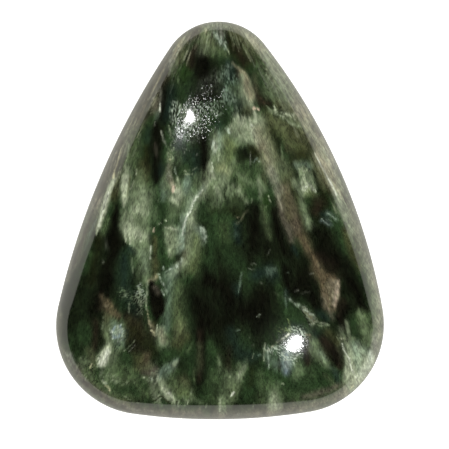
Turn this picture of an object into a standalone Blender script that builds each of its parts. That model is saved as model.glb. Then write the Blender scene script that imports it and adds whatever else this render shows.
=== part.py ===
"""A polished seraphinite stone: one rounded triangular pebble with a domed face and a flat back.

Metres, +Z up. The stone lies on its flat back. The origin is the middle of its box, at the bottom,
the narrow tip points along +Y and the domed face looks along +Z.
"""

import math

import bmesh
import bpy
from mathutils import Vector

MM = 0.001

# Outline at the girdle: three corner circles, joined by long arcs that bulge a little.
TIP = (Vector((-0.15, 14.10)) * MM, 5.80 * MM)
LEFT_HEEL = (Vector((-7.55, -10.55)) * MM, 8.85 * MM)
RIGHT_HEEL = (Vector((7.55, -10.40)) * MM, 8.85 * MM)
LEFT_SIDE_RADIUS = 78.0 * MM
HEEL_SIDE_RADIUS = 60.0 * MM
RIGHT_SIDE_RADIUS = 60.0 * MM

# Heights and the shape of the dome.
GIRDLE_HEIGHT = 3.1 * MM
DOME_HEIGHT = 7.4 * MM
BACK_INSET = 3.6 * MM
CROWN = Vector((0.0, -2.9)) * MM
CROWN_HALF_WIDTH = 14.6 * MM
CROWN_HALF_LENGTH = 17.2 * MM

# How finely the solid is faceted.
CORNER_STEPS = 18
LONG_SIDE_STEPS = 16
HEEL_SIDE_STEPS = 10
DOME_RINGS = 20
UNDER_RINGS = 6

STONE_COLOUR = (0.045, 0.085, 0.050, 1.0)
STONE_ROUGHNESS = 0.18


def clear_scene():
    for old in list(bpy.data.objects):
        bpy.data.objects.remove(old, do_unlink=True)


def side_centre(first, second, radius):
    """Centre of the arc that runs from one corner circle to the next and is tangent to both."""
    (centre_a, radius_a), (centre_b, radius_b) = first, second
    to_a, to_b = radius - radius_a, radius - radius_b
    gap = centre_b - centre_a
    along = (to_a**2 - to_b**2 + gap.length_squared) / (2 * gap.length)
    across = math.sqrt(to_a**2 - along**2)
    unit = gap.normalized()
    return centre_a + unit * along + Vector((-unit.y, unit.x)) * across


def heading(vector):
    return math.atan2(vector.y, vector.x)


def outline_arcs():
    """(centre, radius, start angle, end angle, steps) of the six arcs, counterclockwise from the tip."""
    corners = (TIP, LEFT_HEEL, RIGHT_HEEL)
    radii = (LEFT_SIDE_RADIUS, HEEL_SIDE_RADIUS, RIGHT_SIDE_RADIUS)
    steps = (LONG_SIDE_STEPS, HEEL_SIDE_STEPS, LONG_SIDE_STEPS)
    sides = [side_centre(corners[i], corners[(i + 1) % 3], radii[i]) for i in range(3)]
    arcs = []
    for i, (corner, corner_radius) in enumerate(corners):
        arriving = heading(corner - sides[i - 1])
        leaving = heading(corner - sides[i])
        next_corner = heading(corners[(i + 1) % 3][0] - sides[i])
        arcs.append((corner, corner_radius, arriving, leaving, CORNER_STEPS))
        arcs.append((sides[i], radii[i], leaving, next_corner, steps[i]))
    return arcs


def outline(inset=0.0):
    """The girdle outline, moved inwards by inset. An arc's inset is the same arc with less radius."""
    points = []
    for centre, radius, start, end, steps in outline_arcs():
        sweep = (end - start) % (2 * math.pi)
        for step in range(steps):
            angle = start + sweep * step / steps
            points.append(centre + Vector((math.cos(angle), math.sin(angle))) * (radius - inset))
    return points


def dome_ring(girdle, angle):
    """Ring of the dome, from the girdle at angle 0 up to the crown at 90 degrees, growing rounder."""
    reach = math.cos(angle)
    height = GIRDLE_HEIGHT + DOME_HEIGHT * math.sin(angle)
    share = reach**2
    points = []
    for rim in girdle:
        way = rim - CROWN
        turn = heading(way)
        round_reach = 1 / math.hypot(
            math.cos(turn) / CROWN_HALF_WIDTH, math.sin(turn) / CROWN_HALF_LENGTH
        )
        full = way.normalized() * (round_reach * (1 - share) + way.length * share)
        points.append((CROWN + full * reach).to_3d() + Vector((0, 0, height)))
    return points


def under_ring(angle):
    """Ring of the rounded lower edge, from the flat back at angle 0 to the girdle at 90 degrees."""
    inset = BACK_INSET * (1 - math.sin(angle))
    height = GIRDLE_HEIGHT * (1 - math.cos(angle))
    return [point.to_3d() + Vector((0, 0, height)) for point in outline(inset)]


def stone_mesh():
    quarter = math.pi / 2
    girdle = outline()
    levels = [under_ring(quarter * i / UNDER_RINGS) for i in range(UNDER_RINGS)]
    levels += [dome_ring(girdle, quarter * i / DOME_RINGS) for i in range(DOME_RINGS)]
    body = bmesh.new()
    rings = [[body.verts.new(point) for point in level] for level in levels]
    count = len(girdle)
    body.faces.new(list(reversed(rings[0])))
    for lower, upper in zip(rings, rings[1:]):
        for i in range(count):
            j = (i + 1) % count
            body.faces.new((lower[i], lower[j], upper[j], upper[i]))
    top = body.verts.new(CROWN.to_3d() + Vector((0, 0, GIRDLE_HEIGHT + DOME_HEIGHT)))
    for i in range(count):
        body.faces.new((rings[-1][i], rings[-1][(i + 1) % count], top))
    mesh = bpy.data.meshes.new("polished_stone")
    body.to_mesh(mesh)
    body.free()
    mesh.shade_smooth()
    return mesh


def stone_material():
    material = bpy.data.materials.new("seraphinite")
    material.use_nodes = True
    shader = material.node_tree.nodes["Principled BSDF"]
    shader.inputs["Base Color"].default_value = STONE_COLOUR
    shader.inputs["Roughness"].default_value = STONE_ROUGHNESS
    shader.inputs["Metallic"].default_value = 0.0
    return material


def main():
    clear_scene()
    stone = bpy.data.objects.new("polished_stone", stone_mesh())
    stone.data.materials.append(stone_material())
    bpy.context.scene.collection.objects.link(stone)


main()
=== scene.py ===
"""The looks of a polished seraphinite stone: its fine surface, its feathers, the floor, light and camera.

Metres, +Z up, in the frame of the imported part. The face looks up and its narrow tip points along +Y.
"""

import math

import bpy
import numpy as np
from mathutils import Matrix


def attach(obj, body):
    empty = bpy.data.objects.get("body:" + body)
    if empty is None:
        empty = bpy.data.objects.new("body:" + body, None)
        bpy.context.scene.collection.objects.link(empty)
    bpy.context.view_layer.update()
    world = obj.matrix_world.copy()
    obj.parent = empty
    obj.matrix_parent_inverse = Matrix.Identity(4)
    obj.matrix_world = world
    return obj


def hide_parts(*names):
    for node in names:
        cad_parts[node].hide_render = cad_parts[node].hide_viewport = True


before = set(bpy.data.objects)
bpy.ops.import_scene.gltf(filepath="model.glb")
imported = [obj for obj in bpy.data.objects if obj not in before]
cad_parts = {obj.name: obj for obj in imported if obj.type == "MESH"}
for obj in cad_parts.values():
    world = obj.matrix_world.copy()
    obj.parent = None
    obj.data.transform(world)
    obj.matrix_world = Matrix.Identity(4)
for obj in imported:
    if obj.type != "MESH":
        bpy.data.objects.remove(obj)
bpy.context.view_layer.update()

MM = 0.001
QUARTER = math.pi / 2

# Outline at the girdle, in millimetres: three corner circles, joined by long arcs that bulge a little.
TIP = (np.array((-0.15, 14.10)), 5.80)
LEFT_HEEL = (np.array((-7.55, -10.55)), 8.85)
RIGHT_HEEL = (np.array((7.55, -10.40)), 8.85)
LEFT_SIDE_RADIUS = 78.0
HEEL_SIDE_RADIUS = 60.0
RIGHT_SIDE_RADIUS = 60.0

# Heights and the shape of the dome, in millimetres.
GIRDLE_HEIGHT = 3.1
DOME_HEIGHT = 7.4
BACK_INSET = 3.6
CROWN = np.array((0.0, -2.9))
CROWN_HALF_WIDTH = 14.6
CROWN_HALF_LENGTH = 17.2

# Rings of the fine mesh. Ring k has 8 k points, so the points lie evenly over the stone.
POINTS_PER_RING = 8
FACE_RINGS = 138
BACK_RINGS = 69
UNDER_RINGS = 16
# How far the face's rings keep even steps as seen from above, against even steps along the dome.
SEEN_SHARE = 0.6
FINE_STEPS = 2001

# The photograph's frame, and its middle in the part's frame, in millimetres.
FRAME_WIDTH = 44.9
FRAME_MIDDLE = (0.45, -0.40)
LENS = 400.0
SENSOR = 36.0
CLIP_END = 20.0


def side_centre(first, second, radius):
    """Centre of the arc that runs from one corner circle to the next and is tangent to both."""
    (centre_a, radius_a), (centre_b, radius_b) = first, second
    to_a, to_b = radius - radius_a, radius - radius_b
    gap = centre_b - centre_a
    length = np.hypot(*gap)
    along = (to_a**2 - to_b**2 + length**2) / (2 * length)
    across = math.sqrt(to_a**2 - along**2)
    unit = gap / length
    return centre_a + unit * along + np.array((-unit[1], unit[0])) * across


def heading(vector):
    """Angle of a vector from +X, in radians."""
    return math.atan2(vector[1], vector[0])


def outline_arcs():
    """(centre, radius, start angle, sweep) of the six arcs, counterclockwise from the tip."""
    corners = (TIP, LEFT_HEEL, RIGHT_HEEL)
    radii = (LEFT_SIDE_RADIUS, HEEL_SIDE_RADIUS, RIGHT_SIDE_RADIUS)
    sides = [side_centre(corners[i], corners[(i + 1) % 3], radii[i]) for i in range(3)]
    arcs = []
    for i, (corner, corner_radius) in enumerate(corners):
        arriving = heading(corner - sides[i - 1])
        leaving = heading(corner - sides[i])
        next_corner = heading(corners[(i + 1) % 3][0] - sides[i])
        arcs.append((corner, corner_radius, arriving, (leaving - arriving) % (2 * math.pi)))
        arcs.append((sides[i], radii[i], leaving, (next_corner - leaving) % (2 * math.pi)))
    return arcs


def girdle(count):
    """Points of the girdle outline at even steps, and the outward direction at each."""
    arcs = outline_arcs()
    ends = np.cumsum([radius * sweep for _, radius, _, sweep in arcs])
    points, outward = [], []
    for place in np.arange(count) / count * ends[-1]:
        index = int(np.searchsorted(ends, place, side="right"))
        centre, radius, start, sweep = arcs[index]
        angle = start + sweep + (place - ends[index]) / radius
        outward.append((math.cos(angle), math.sin(angle)))
        points.append(centre + np.array(outward[-1]) * radius)
    return np.array(points), np.array(outward)


def dome_ring(count, angle):
    """Ring of the dome, from the girdle at angle 0 up to the crown at 90 degrees, growing rounder."""
    way = girdle(count)[0] - CROWN
    length = np.hypot(way[:, 0], way[:, 1])
    unit = way / length[:, None]
    round_reach = 1 / np.hypot(unit[:, 0] / CROWN_HALF_WIDTH, unit[:, 1] / CROWN_HALF_LENGTH)
    reach = math.cos(angle)
    full = round_reach * (1 - reach**2) + length * reach**2
    height = np.full(count, GIRDLE_HEIGHT + DOME_HEIGHT * math.sin(angle))
    return np.column_stack((CROWN + unit * (full * reach)[:, None], height))


def under_ring(count, angle):
    """Ring of the rounded lower edge, from the flat back at angle 0 to the girdle at 90 degrees."""
    points, outward = girdle(count)
    inset = BACK_INSET * (1 - math.sin(angle))
    height = np.full(count, GIRDLE_HEIGHT * (1 - math.cos(angle)))
    return np.column_stack((points - outward * inset, height))


def back_ring(count, share):
    """Ring on the flat back: its edge, drawn in towards the middle."""
    ring = under_ring(count, 0.0)
    ring[:, :2] *= share
    return ring


def face_angles():
    """Angle of each ring of the dome, from the crown out to the girdle."""
    fine = np.linspace(0.0, QUARTER, FINE_STEPS)
    measure = SEEN_SHARE * np.sin(fine) + (1 - SEEN_SHARE) * fine / QUARTER
    steps = np.arange(1, FACE_RINGS + 1) / FACE_RINGS
    return QUARTER - np.interp(steps, measure, fine)


def stitch(inner, outer):
    """Triangles between two rings, given as the numbers of their points in turn."""
    faces = []
    i = j = 0
    while i < len(inner) or j < len(outer):
        here, there = inner[i % len(inner)], outer[j % len(outer)]
        if j < len(outer) and (j + 1) * len(inner) <= (i + 1) * len(outer):
            faces.append((here, there, outer[(j + 1) % len(outer)]))
            j += 1
        else:
            faces.append((here, there, inner[(i + 1) % len(inner)]))
            i += 1
    return faces


def stone_rings():
    """All rings of the stone, from the crown over the girdle to the middle of the back."""
    rings = [np.array([[*CROWN, GIRDLE_HEIGHT + DOME_HEIGHT]])]
    for k, angle in enumerate(face_angles(), start=1):
        rings.append(dome_ring(POINTS_PER_RING * k, angle))
    for k in range(BACK_RINGS, BACK_RINGS - UNDER_RINGS, -1):
        angle = QUARTER * (k - (BACK_RINGS - UNDER_RINGS)) / (UNDER_RINGS + 1)
        rings.append(under_ring(POINTS_PER_RING * k, angle))
    flat_rings = BACK_RINGS - UNDER_RINGS
    for k in range(flat_rings, 0, -1):
        rings.append(back_ring(POINTS_PER_RING * k, k / flat_rings))
    rings.append(np.zeros((1, 3)))
    return rings


def stone_mesh():
    """The fine stone, with its colours, its fibres and how far its small faces tilt kept at its points."""
    rings = stone_rings()
    numbers, first = [], 0
    for ring in rings:
        numbers.append(list(range(first, first + len(ring))))
        first += len(ring)
    faces = []
    for inner, outer in zip(numbers, numbers[1:]):
        faces += stitch(inner, outer)
    mesh = bpy.data.meshes.new("seraphinite_stone")
    places = np.vstack(rings)
    mesh.from_pydata((places * MM).tolist(), [], faces)
    mesh.shade_smooth()
    x, y, height = places.T
    face_share = smooth(1.0 - (GIRDLE_HEIGHT - height) / BACK_BLEND)
    face = paint_colours(x, y, FACE, LINES + rim_fibres())
    back = paint_colours(-x, y, back_feathers(), [])
    colours = back + (face - back) * face_share[:, None]
    paint = mesh.attributes.new("paint", "FLOAT_COLOR", "POINT")
    paint.data.foreach_set("color", np.column_stack((colours, np.ones(len(places)))).ravel())
    sparkle = mesh.attributes.new("sparkle", "FLOAT", "POINT")
    sparkle.data.foreach_set("value", sparkle_amount(x, y) * face_share)
    across, along, _ = fibre_places(x, y)
    fibre = mesh.attributes.new("fibre", "FLOAT_VECTOR", "POINT")
    fibre.data.foreach_set("vector", np.column_stack((across, along, height)).ravel())
    return mesh


# Paint. Colours are written as they look in the photograph's light, from 0 to 255.
LIGHT_GAIN = 1.4
SEED = 9
# The pitted patch, as a stroke in millimetres, how sharply it ends, and how far the small faces tilt
# elsewhere, against it.
PITTED_PATCH = [(-2.0, 9.9, 3.1), (-0.4, 12.0, 3.4)]
PITTED_EDGE = 1.6
LEAST_SPARKLE = 0.08
# Steps along a fibre, in millimetres, over which its colour is mixed.
FIBRE_TAPS = (-0.12, -0.04, 0.04, 0.12)
# How far, in millimetres, the strokes and the crisp lines waver from their written places.
WAVER = 0.22
LINE_WAVER = 0.06
# Heights, in millimetres, at which the fibres of the left and of the right half would meet.
LEFT_FOCUS = 38.0
RIGHT_FOCUS = 30.0
# Above this height, in millimetres, the fibres bend towards the middle, so that they follow the tip.
BEND_HEIGHT = 6.0
LEFT_BEND = 0.045
RIGHT_BEND = 0.030

# Noise: a lattice of random values, and the layers that are read from it. Each layer has its bumps per
# millimetre across and along, and a shift across and along that sets it apart from the others.
OCTAVE_FADE = 1.6
OCTAVE_SHIFT = 31.0
WAVER_OCTAVES = 2
LATTICE = 256
LATTICE_VALUES = np.random.default_rng(SEED).random((LATTICE, LATTICE))
LAYERS = {
    "waver_across": (0.9, 0.7, 0.0, 0.0),
    "waver_along": (0.9, 0.7, 60.0, 0.0),
    "ground": (0.6, 0.25, 12.0, 0.0),
    "teeth": (2.2, 0.35, 0.0, 0.0),
    "long_fibres": (4.2, 0.9, 50.0, 0.0),
    "short_fibres": (3.4, 2.6, 0.0, 0.0),
    "fuzz": (2.6, 2.0, 0.0, 9.0),
    "dots": (21.0, 19.0, 0.0, 90.0),
    "streaks": (5.0, 0.6, 0.0, 0.0),
    "fine_streaks": (9.0, 1.5, 0.0, 0.0),
    "clouds": (1.4, 0.9, 7.0, 0.0),
}
# The weave: its bumps per millimetre across its fibres, how far they lean, the share of the bumps along
# them, how far apart its two sets are read, and the middle of their values.
WEAVE_ACROSS = 5.6
WEAVE_LEAN = 3.0
WEAVE_ALONG = 0.2
WEAVE_SHIFT = 40.0
WEAVE_MIDDLE = 0.62
# How strongly the noise mixes the two ground colours, and how strong the long and the short fibres are.
GROUND_CONTRAST = 1.3
LONG_FIBRES = 1.4
SHORT_FIBRES = 0.6
# How strongly each kind of noise lightens and darkens the finished paint.
STREAK_SHADE = 0.13
CLOUD_SHADE = 0.15
FUZZ_SHADE = 0.20
WEAVE_SHADE = 0.35

# For each style: how wide it spreads, how soft its edges are, how far its ends are drawn out along the
# fibres, in millimetres, and how much the fibres break it up.
STYLES = {
    "wash": (1.5, 1.15, 0.12, 0.22),
    "plume": (1.4, 1.15, 0.35, 0.7),
    "patch": (1.2, 0.55, 0.12, 0.25),
    "edge": (1.4, 1.15, 0.15, 0.6),
    "fuzz": (1.5, 0.9, 0.30, 0.4),
    "glitter": (1.3, 0.8, 0.20, 0.4),
}
# The styles with gaps: how much of them shows where their noise is even, and how sharply it cuts them.
GAPS = {"fuzz": (0.5, 1.6), "glitter": (0.2, 3.2)}
# How much further a stroke's ends are drawn out than its sides.
TEETH_PULL = 2.0
# The shortest stroke, in millimetres, so that a single point is one too.
LEAST_LENGTH = 1e-6

COLOURS = {
    "black": (14, 14, 9),
    "brown_black": (38, 32, 24),
    "olive_black": (33, 36, 18),
    "green_black": (24, 31, 18),
    "dark_teal": (28, 41, 34),
    "dark_green": (40, 58, 34),
    "deep_green": (42, 62, 30),
    "green": (79, 94, 64),
    "dark_olive": (64, 66, 42),
    "olive": (90, 94, 68),
    "moss": (98, 110, 72),
    "sage_green": (104, 119, 89),
    "teal_sage": (104, 122, 106),
    "sage": (136, 146, 120),
    "mist": (136, 154, 134),
    "pale_sage": (166, 174, 148),
    "tan": (150, 142, 116),
    "brown": (96, 84, 64),
    "grey_brown": (98, 92, 80),
    "grey": (128, 130, 120),
    "pink": (196, 176, 156),
    "silver": (178, 190, 174),
    "blue_grey": (122, 138, 146),
    "pale_yellow": (196, 192, 156),
    "white": (226, 230, 214),
    # Colours of the rim band, where they are partly painted reflection of the table; elsewhere plain stone
    # colours.
    "rim_grey": (128, 122, 106),
    "rim_brown": (97, 90, 76),
    "rim_sage": (162, 160, 138),
}


def smooth(value):
    """From 0 to 1, level at both ends."""
    value = np.clip(value, 0.0, 1.0)
    return value * value * (3.0 - 2.0 * value)


def noise(x, y):
    """Smooth noise from 0 to 1 with about one bump for each unit of x and y."""
    column, row = np.floor(x).astype(int), np.floor(y).astype(int)
    share_x, share_y = smooth(x - column), smooth(y - row)
    sides = []
    for j in (0, 1):
        first, second = [LATTICE_VALUES[(column + i) % LATTICE, (row + j) % LATTICE] for i in (0, 1)]
        sides.append(first + (second - first) * share_x)
    low, high = sides
    return low + (high - low) * share_y


def ripple(x, y, octaves=3):
    """Noise round 0 in octaves, each twice as fine as the one before and a little weaker."""
    total = np.zeros(len(x))
    for octave in range(octaves):
        step = 2.0**octave
        total += (noise(x * step + OCTAVE_SHIFT * octave, y * step) - 0.5) / OCTAVE_FADE**octave
    return total


def in_layer(name, x, y):
    """Places in the units of one noise layer."""
    bumps_across, bumps_along, shift_across, shift_along = LAYERS[name]
    return x * bumps_across + shift_across, y * bumps_along + shift_along


def fibre_places(x, y):
    """Fibre coordinates in millimetres: across the fan of fibres, and up along it, and the fibres' lean."""
    focus = np.where(x < 0, LEFT_FOCUS, RIGHT_FOCUS)
    bend = np.where(x < 0, LEFT_BEND, RIGHT_BEND)
    beyond = np.maximum(y - BEND_HEIGHT, 0.0)
    gap = focus - y - bend * beyond**2
    return x * focus / gap, y, -x * (1.0 + 2.0 * bend * beyond) / gap


def lean_at(x, y):
    """The fibres' lean at one place: how far they go to the right for each millimetre up."""
    return fibre_places(np.array([x]), np.array([y]))[2][0]


def cover(points, x, y):
    """How far inside a stroke each place lies: 1 along its line, falling to 0 at its width.

    A point is x, y and a width in millimetres, or x, y and the widths left and right of the way.
    """
    best = np.zeros(len(x))
    pairs = list(zip(points, points[1:])) or [(points[0], points[0])]
    for start, end in pairs:
        way = (end[0] - start[0], end[1] - start[1])
        length = max(math.hypot(*way), LEAST_LENGTH)
        share = np.clip(((x - start[0]) * way[0] + (y - start[1]) * way[1]) / length**2, 0.0, 1.0)
        off_x = x - start[0] - share * way[0]
        off_y = y - start[1] - share * way[1]
        left = start[2] + (end[2] - start[2]) * share
        right = start[-1] + (end[-1] - start[-1]) * share
        width = np.where(way[0] * off_y - way[1] * off_x > 0, left, right)
        best = np.maximum(best, 1.0 - np.hypot(off_x, off_y) / width)
    return best


def sparkle_amount(x, y):
    """How far the small faces tilt: most round the upper highlight, where the polish is a little pitted."""
    return LEAST_SPARKLE + (1.0 - LEAST_SPARKLE) * smooth(PITTED_EDGE * cover(PITTED_PATCH, x, y))


def weave(x, y):
    """Two sets of fine fibres that lean to either side and cross, from about -0.5 to 0.5."""
    fine_x, fine_y, lean_x, lean_y = x * WEAVE_ACROSS, y * WEAVE_ACROSS, x * WEAVE_LEAN, y * WEAVE_LEAN
    one = noise(fine_x + lean_y, (fine_y - lean_x) * WEAVE_ALONG)
    other = noise(fine_x - lean_y + WEAVE_SHIFT, (fine_y + lean_x) * WEAVE_ALONG)
    return np.maximum(one, other) - WEAVE_MIDDLE


class Canvas:
    """The colour of each place, and the fibres that break up the strokes and their ends."""

    def __init__(self, x, y, waver):
        self.across, self.along, _ = fibre_places(x, y)
        self.x = x + waver * ripple(*in_layer("waver_across", x, y), WAVER_OCTAVES)
        self.y = y + waver * ripple(*in_layer("waver_along", x, y), WAVER_OCTAVES)
        ground = smooth(0.5 + GROUND_CONTRAST * self.fibre_ripple("ground"))[:, None]
        dark, light = np.array(COLOURS["green_black"]), np.array(COLOURS["dark_green"])
        self.colour = dark + (light - dark) * ground
        self.teeth = self.fibre_ripple("teeth")
        long, short = self.fibre_ripple("long_fibres"), ripple(*in_layer("short_fibres", x, y))
        self.fibres = LONG_FIBRES * long + SHORT_FIBRES * short
        self.gaps = {
            "fuzz": ripple(*in_layer("fuzz", x, y)),
            "glitter": noise(*in_layer("dots", x, y)) - 0.5,
        }

    def fibre_ripple(self, layer):
        """Noise that runs with the fibres."""
        return ripple(*in_layer(layer, self.across, self.along))

    def paint(self, strokes):
        for style, colour, strength, *points in strokes:
            self.stroke(style, colour, strength, points)

    def stroke(self, style, colour, strength, points):
        """Mix a colour into the places near one stroke. Its points are x, y and widths, as in cover."""
        spread, softness, rag, grain = STYLES[style]
        points = [(x, y, *(width * spread for width in widths)) for x, y, *widths in points]
        reach = max(max(point[2:]) for point in points) + rag
        low = np.min([point[:2] for point in points], axis=0) - reach
        high = np.max([point[:2] for point in points], axis=0) + reach
        near = (self.x > low[0]) & (self.x < high[0]) & (self.y > low[1]) & (self.y < high[1])
        lean = rag * self.teeth[near]
        best = cover(points, self.x[near], self.y[near] + TEETH_PULL * lean)
        mask = strength * smooth(best * (1.0 + grain * self.fibres[near]) / softness)[:, None]
        if style in GAPS:
            share, sharpness = GAPS[style]
            mask *= smooth(share + sharpness * self.gaps[style][near])[:, None]
        self.colour[near] += mask * (np.array(COLOURS[colour]) - self.colour[near])


# The back, which the photograph doesn't show. Over this height, in millimetres, its colours pass into the
# face's, and its strokes start in this box.
BACK_BLEND = 1.6
BACK_LOW = (-14.0, -18.0)
BACK_HIGH = (14.0, 14.0)
# Its clouds: how many, their strength, widths, most lean to a side, height and colours.
BACK_CLOUDS = 60
CLOUD_STRENGTH = 0.6
CLOUD_WIDTHS = (1.8, 1.2)
CLOUD_LEAN = 2.0
CLOUD_HEIGHT = 3.0
CLOUD_COLOURS = ["black", "green_black", "dark_green", "deep_green", "dark_olive", "green"]
# Its fans: how many, their length, fibres and half spread in radians, and how much of it the root has.
BACK_FANS = 44
FAN_LENGTH = (3.0, 9.0)
FAN_FIBRES = 9
FAN_SPREAD = 0.55
ROOT_TURN = 0.5
# A fan's fibres: how far along the fan they end and along themselves they start, and their looks.
FIBRE_END = (0.5, 1.0)
FIBRE_START = (0.1, 0.5)
FIBRE_WIDTHS = (0.25, 0.1)
FIBRE_STRENGTH = 0.8
FAN_COLOURS = ["dark_green", "green", "olive", "sage_green", "sage", "pale_sage"]

# The fine fibres in the upper rim: how many there would be all round, from which height they are drawn, how
# deep inside the outline they lie, and their half heights, in millimetres, and looks.
RIM_FIBRES = 600
RIM_FIBRES_FROM = 1.5
RIM_DEPTH = (0.3, 2.3)
RIM_HALF_HEIGHT = (0.4, 1.1)
RIM_TOP_WIDTH = 0.05
RIM_BOTTOM_WIDTH = 0.09
RIM_STRENGTH = (0.2, 0.6)
RIM_FIBRE_COLOURS = ["rim_sage", "pale_sage", "grey", "brown_black", "olive_black", "green_black"]


def pick(rng, names):
    """One of the names, by chance."""
    return names[rng.integers(len(names))]


def back_clouds(rng):
    """Soft dark patches, each drawn a little upwards."""
    strokes = []
    for _ in range(BACK_CLOUDS):
        x, y = rng.uniform(BACK_LOW, BACK_HIGH)
        colour = pick(rng, CLOUD_COLOURS)
        top = (x + rng.uniform(-CLOUD_LEAN, CLOUD_LEAN), y + CLOUD_HEIGHT, CLOUD_WIDTHS[1])
        strokes.append(("wash", colour, CLOUD_STRENGTH, (x, y, CLOUD_WIDTHS[0]), top))
    return strokes


def back_fan(rng):
    """Fibres that spread from one root, up or down the stone."""
    x, y = rng.uniform(BACK_LOW, BACK_HIGH)
    length = rng.choice((-1.0, 1.0)) * rng.uniform(*FAN_LENGTH)
    lean = math.atan(lean_at(x, y))
    strokes = []
    for turn in np.linspace(-FAN_SPREAD, FAN_SPREAD, FAN_FIBRES):
        colour = pick(rng, FAN_COLOURS)
        far = length * rng.uniform(*FIBRE_END) * math.cos(turn)
        near = far * rng.uniform(*FIBRE_START)
        root = lean + ROOT_TURN * turn
        start = (x + near * math.sin(root), y + near * math.cos(root), FIBRE_WIDTHS[0])
        end = (x + far * math.sin(lean + turn), y + far * math.cos(lean + turn), FIBRE_WIDTHS[1])
        strokes.append(("plume", colour, FIBRE_STRENGTH, start, end))
    return strokes


def back_feathers():
    """Strokes of the back: soft clouds first, then fans of fibres, each from a root of its own."""
    rng = np.random.default_rng(SEED)
    strokes = back_clouds(rng)
    for _ in range(BACK_FANS):
        strokes += back_fan(rng)
    return strokes


def rim_fibres():
    """Fine pale and dark fibres through the rim, which lean as the others do, steeper than the outline.

    The pale ones are partly painted reflection: they widen the rim band that the mirrored table makes.
    """
    rng = np.random.default_rng(SEED)
    strokes = []
    for (x, y), (out_x, out_y) in zip(*girdle(RIM_FIBRES)):
        depth = rng.uniform(*RIM_DEPTH)
        x, y = x - depth * out_x, y - depth * out_y
        if y < RIM_FIBRES_FROM:
            continue
        half = rng.uniform(*RIM_HALF_HEIGHT)
        colour = pick(rng, RIM_FIBRE_COLOURS)
        side = lean_at(x, y) * half
        top, bottom = (x + side, y + half, RIM_TOP_WIDTH), (x - side, y - half, RIM_BOTTOM_WIDTH)
        strokes.append(("edge", colour, rng.uniform(*RIM_STRENGTH), top, bottom))
    return strokes


def linear_light(look):
    """Linear light of sRGB colours from 0 to 1, by the standard's own formula."""
    return np.where(look < 0.04045, look / 12.92, ((look + 0.055) / 1.055) ** 2.4)


def paint_colours(x, y, strokes, lines):
    """Colours of one side. The fibres carry the strokes' colours a little way, but not the crisp lines'."""
    taps = np.array(FIBRE_TAPS)
    lean = fibre_places(x, y)[2]
    spread_x = (x + taps[:, None] * lean).ravel()
    spread_y = (y + taps[:, None]).ravel()
    silk = Canvas(spread_x, spread_y, WAVER)
    silk.paint(strokes)
    canvas = Canvas(x, y, LINE_WAVER)
    canvas.colour = silk.colour.reshape(len(taps), len(x), 3).mean(axis=0)
    canvas.paint(lines)
    streaks = noise(*in_layer("streaks", canvas.across, canvas.along))
    streaks = streaks + noise(*in_layer("fine_streaks", canvas.across, canvas.along)) - 1.0
    clouds = noise(*in_layer("clouds", x, y)) - 0.5
    shade = 1.0 + STREAK_SHADE * streaks + CLOUD_SHADE * clouds
    shade = shade + FUZZ_SHADE * canvas.gaps["fuzz"] + WEAVE_SHADE * weave(x, y)
    look = np.clip(canvas.colour * shade[:, None] / 255.0, 0.0, 1.0)
    return linear_light(look) / LIGHT_GAIN


# Paint along the girdle, counterclockwise from the tip, so that the left width lies inwards. It is partly
# the stone's pale fibres and partly painted reflection of the table, which lightens the rim band, most on
# the right.
RIM_AND_REFLECTION_STROKES = [
    ("wash", "rim_brown", 0.9, (-4.4, 17.2, 0.9, 1.0), (-5.3, 16.0, 1.4, 1.0), (-6.6, 14.0, 1.7, 1.0),
     (-7.7, 12.0, 1.8, 1.0), (-8.8, 10.0, 1.7, 1.0), (-9.8, 8.0, 1.6, 1.0), (-10.8, 6.0, 1.4, 1.0),
     (-11.6, 4.0, 1.3, 1.0), (-12.4, 2.0, 1.2, 1.0)),
    ("wash", "rim_grey", 0.7, (-12.4, 2.0, 1.2, 1.0), (-13.2, 0.0, 1.0, 1.0), (-13.9, -2.0, 0.9, 1.0),
     (-14.6, -4.0, 0.6, 0.8), (-15.2, -6.0, 0.3, 0.5)),
    ("wash", "rim_grey", 0.5, (-15.9, -9.0, 0.2, 0.6), (-16.0, -12.0, 0.5, 1.0),
     (-14.9, -15.0, 0.6, 1.0), (-13.3, -16.9, 0.6, 1.0), (-10.2, -18.6, 0.7, 1.0),
     (-6.0, -19.4, 0.7, 1.0), (0.0, -19.5, 0.7, 1.0)),
    ("wash", "rim_grey", 0.8, (0.0, -19.5, 0.8, 1.0), (5.0, -19.3, 0.9, 1.0), (9.6, -18.4, 1.0, 1.0),
     (12.4, -17.1, 1.0, 1.0)),
    ("wash", "rim_sage", 0.8, (12.4, -17.1, 0.9, 1.0), (14.2, -15.6, 1.0, 1.0), (15.4, -13.6, 1.0, 1.0),
     (15.9, -11.0, 0.9, 1.0), (15.8, -8.0, 0.8, 1.0), (15.4, -6.0, 0.9, 1.0)),
    ("wash", "rim_sage", 0.7, (15.4, -6.0, 0.5, 1.0), (14.8, -4.0, 0.9, 1.0), (14.1, -2.0, 1.0, 1.0),
     (13.4, 0.0, 1.2, 1.0), (12.6, 2.0, 1.1, 1.0), (11.8, 4.0, 1.2, 1.0), (10.9, 6.0, 1.3, 1.0)),
    ("wash", "rim_sage", 1.0, (10.9, 6.0, 1.3, 1.0), (9.9, 8.0, 1.4, 1.0), (8.8, 10.0, 1.6, 1.0),
     (7.6, 12.0, 1.8, 1.0), (6.3, 14.0, 1.6, 1.0), (4.9, 16.0, 1.2, 1.0), (3.2, 18.0, 0.8, 1.0)),
    ("wash", "rim_sage", 0.7, (3.2, 18.2, 0.6, 0.8), (1.4, 19.3, 0.5, 0.8), (-1.0, 19.6, 0.5, 0.8),
     (-3.4, 18.4, 0.6, 0.8)),
]

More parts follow.
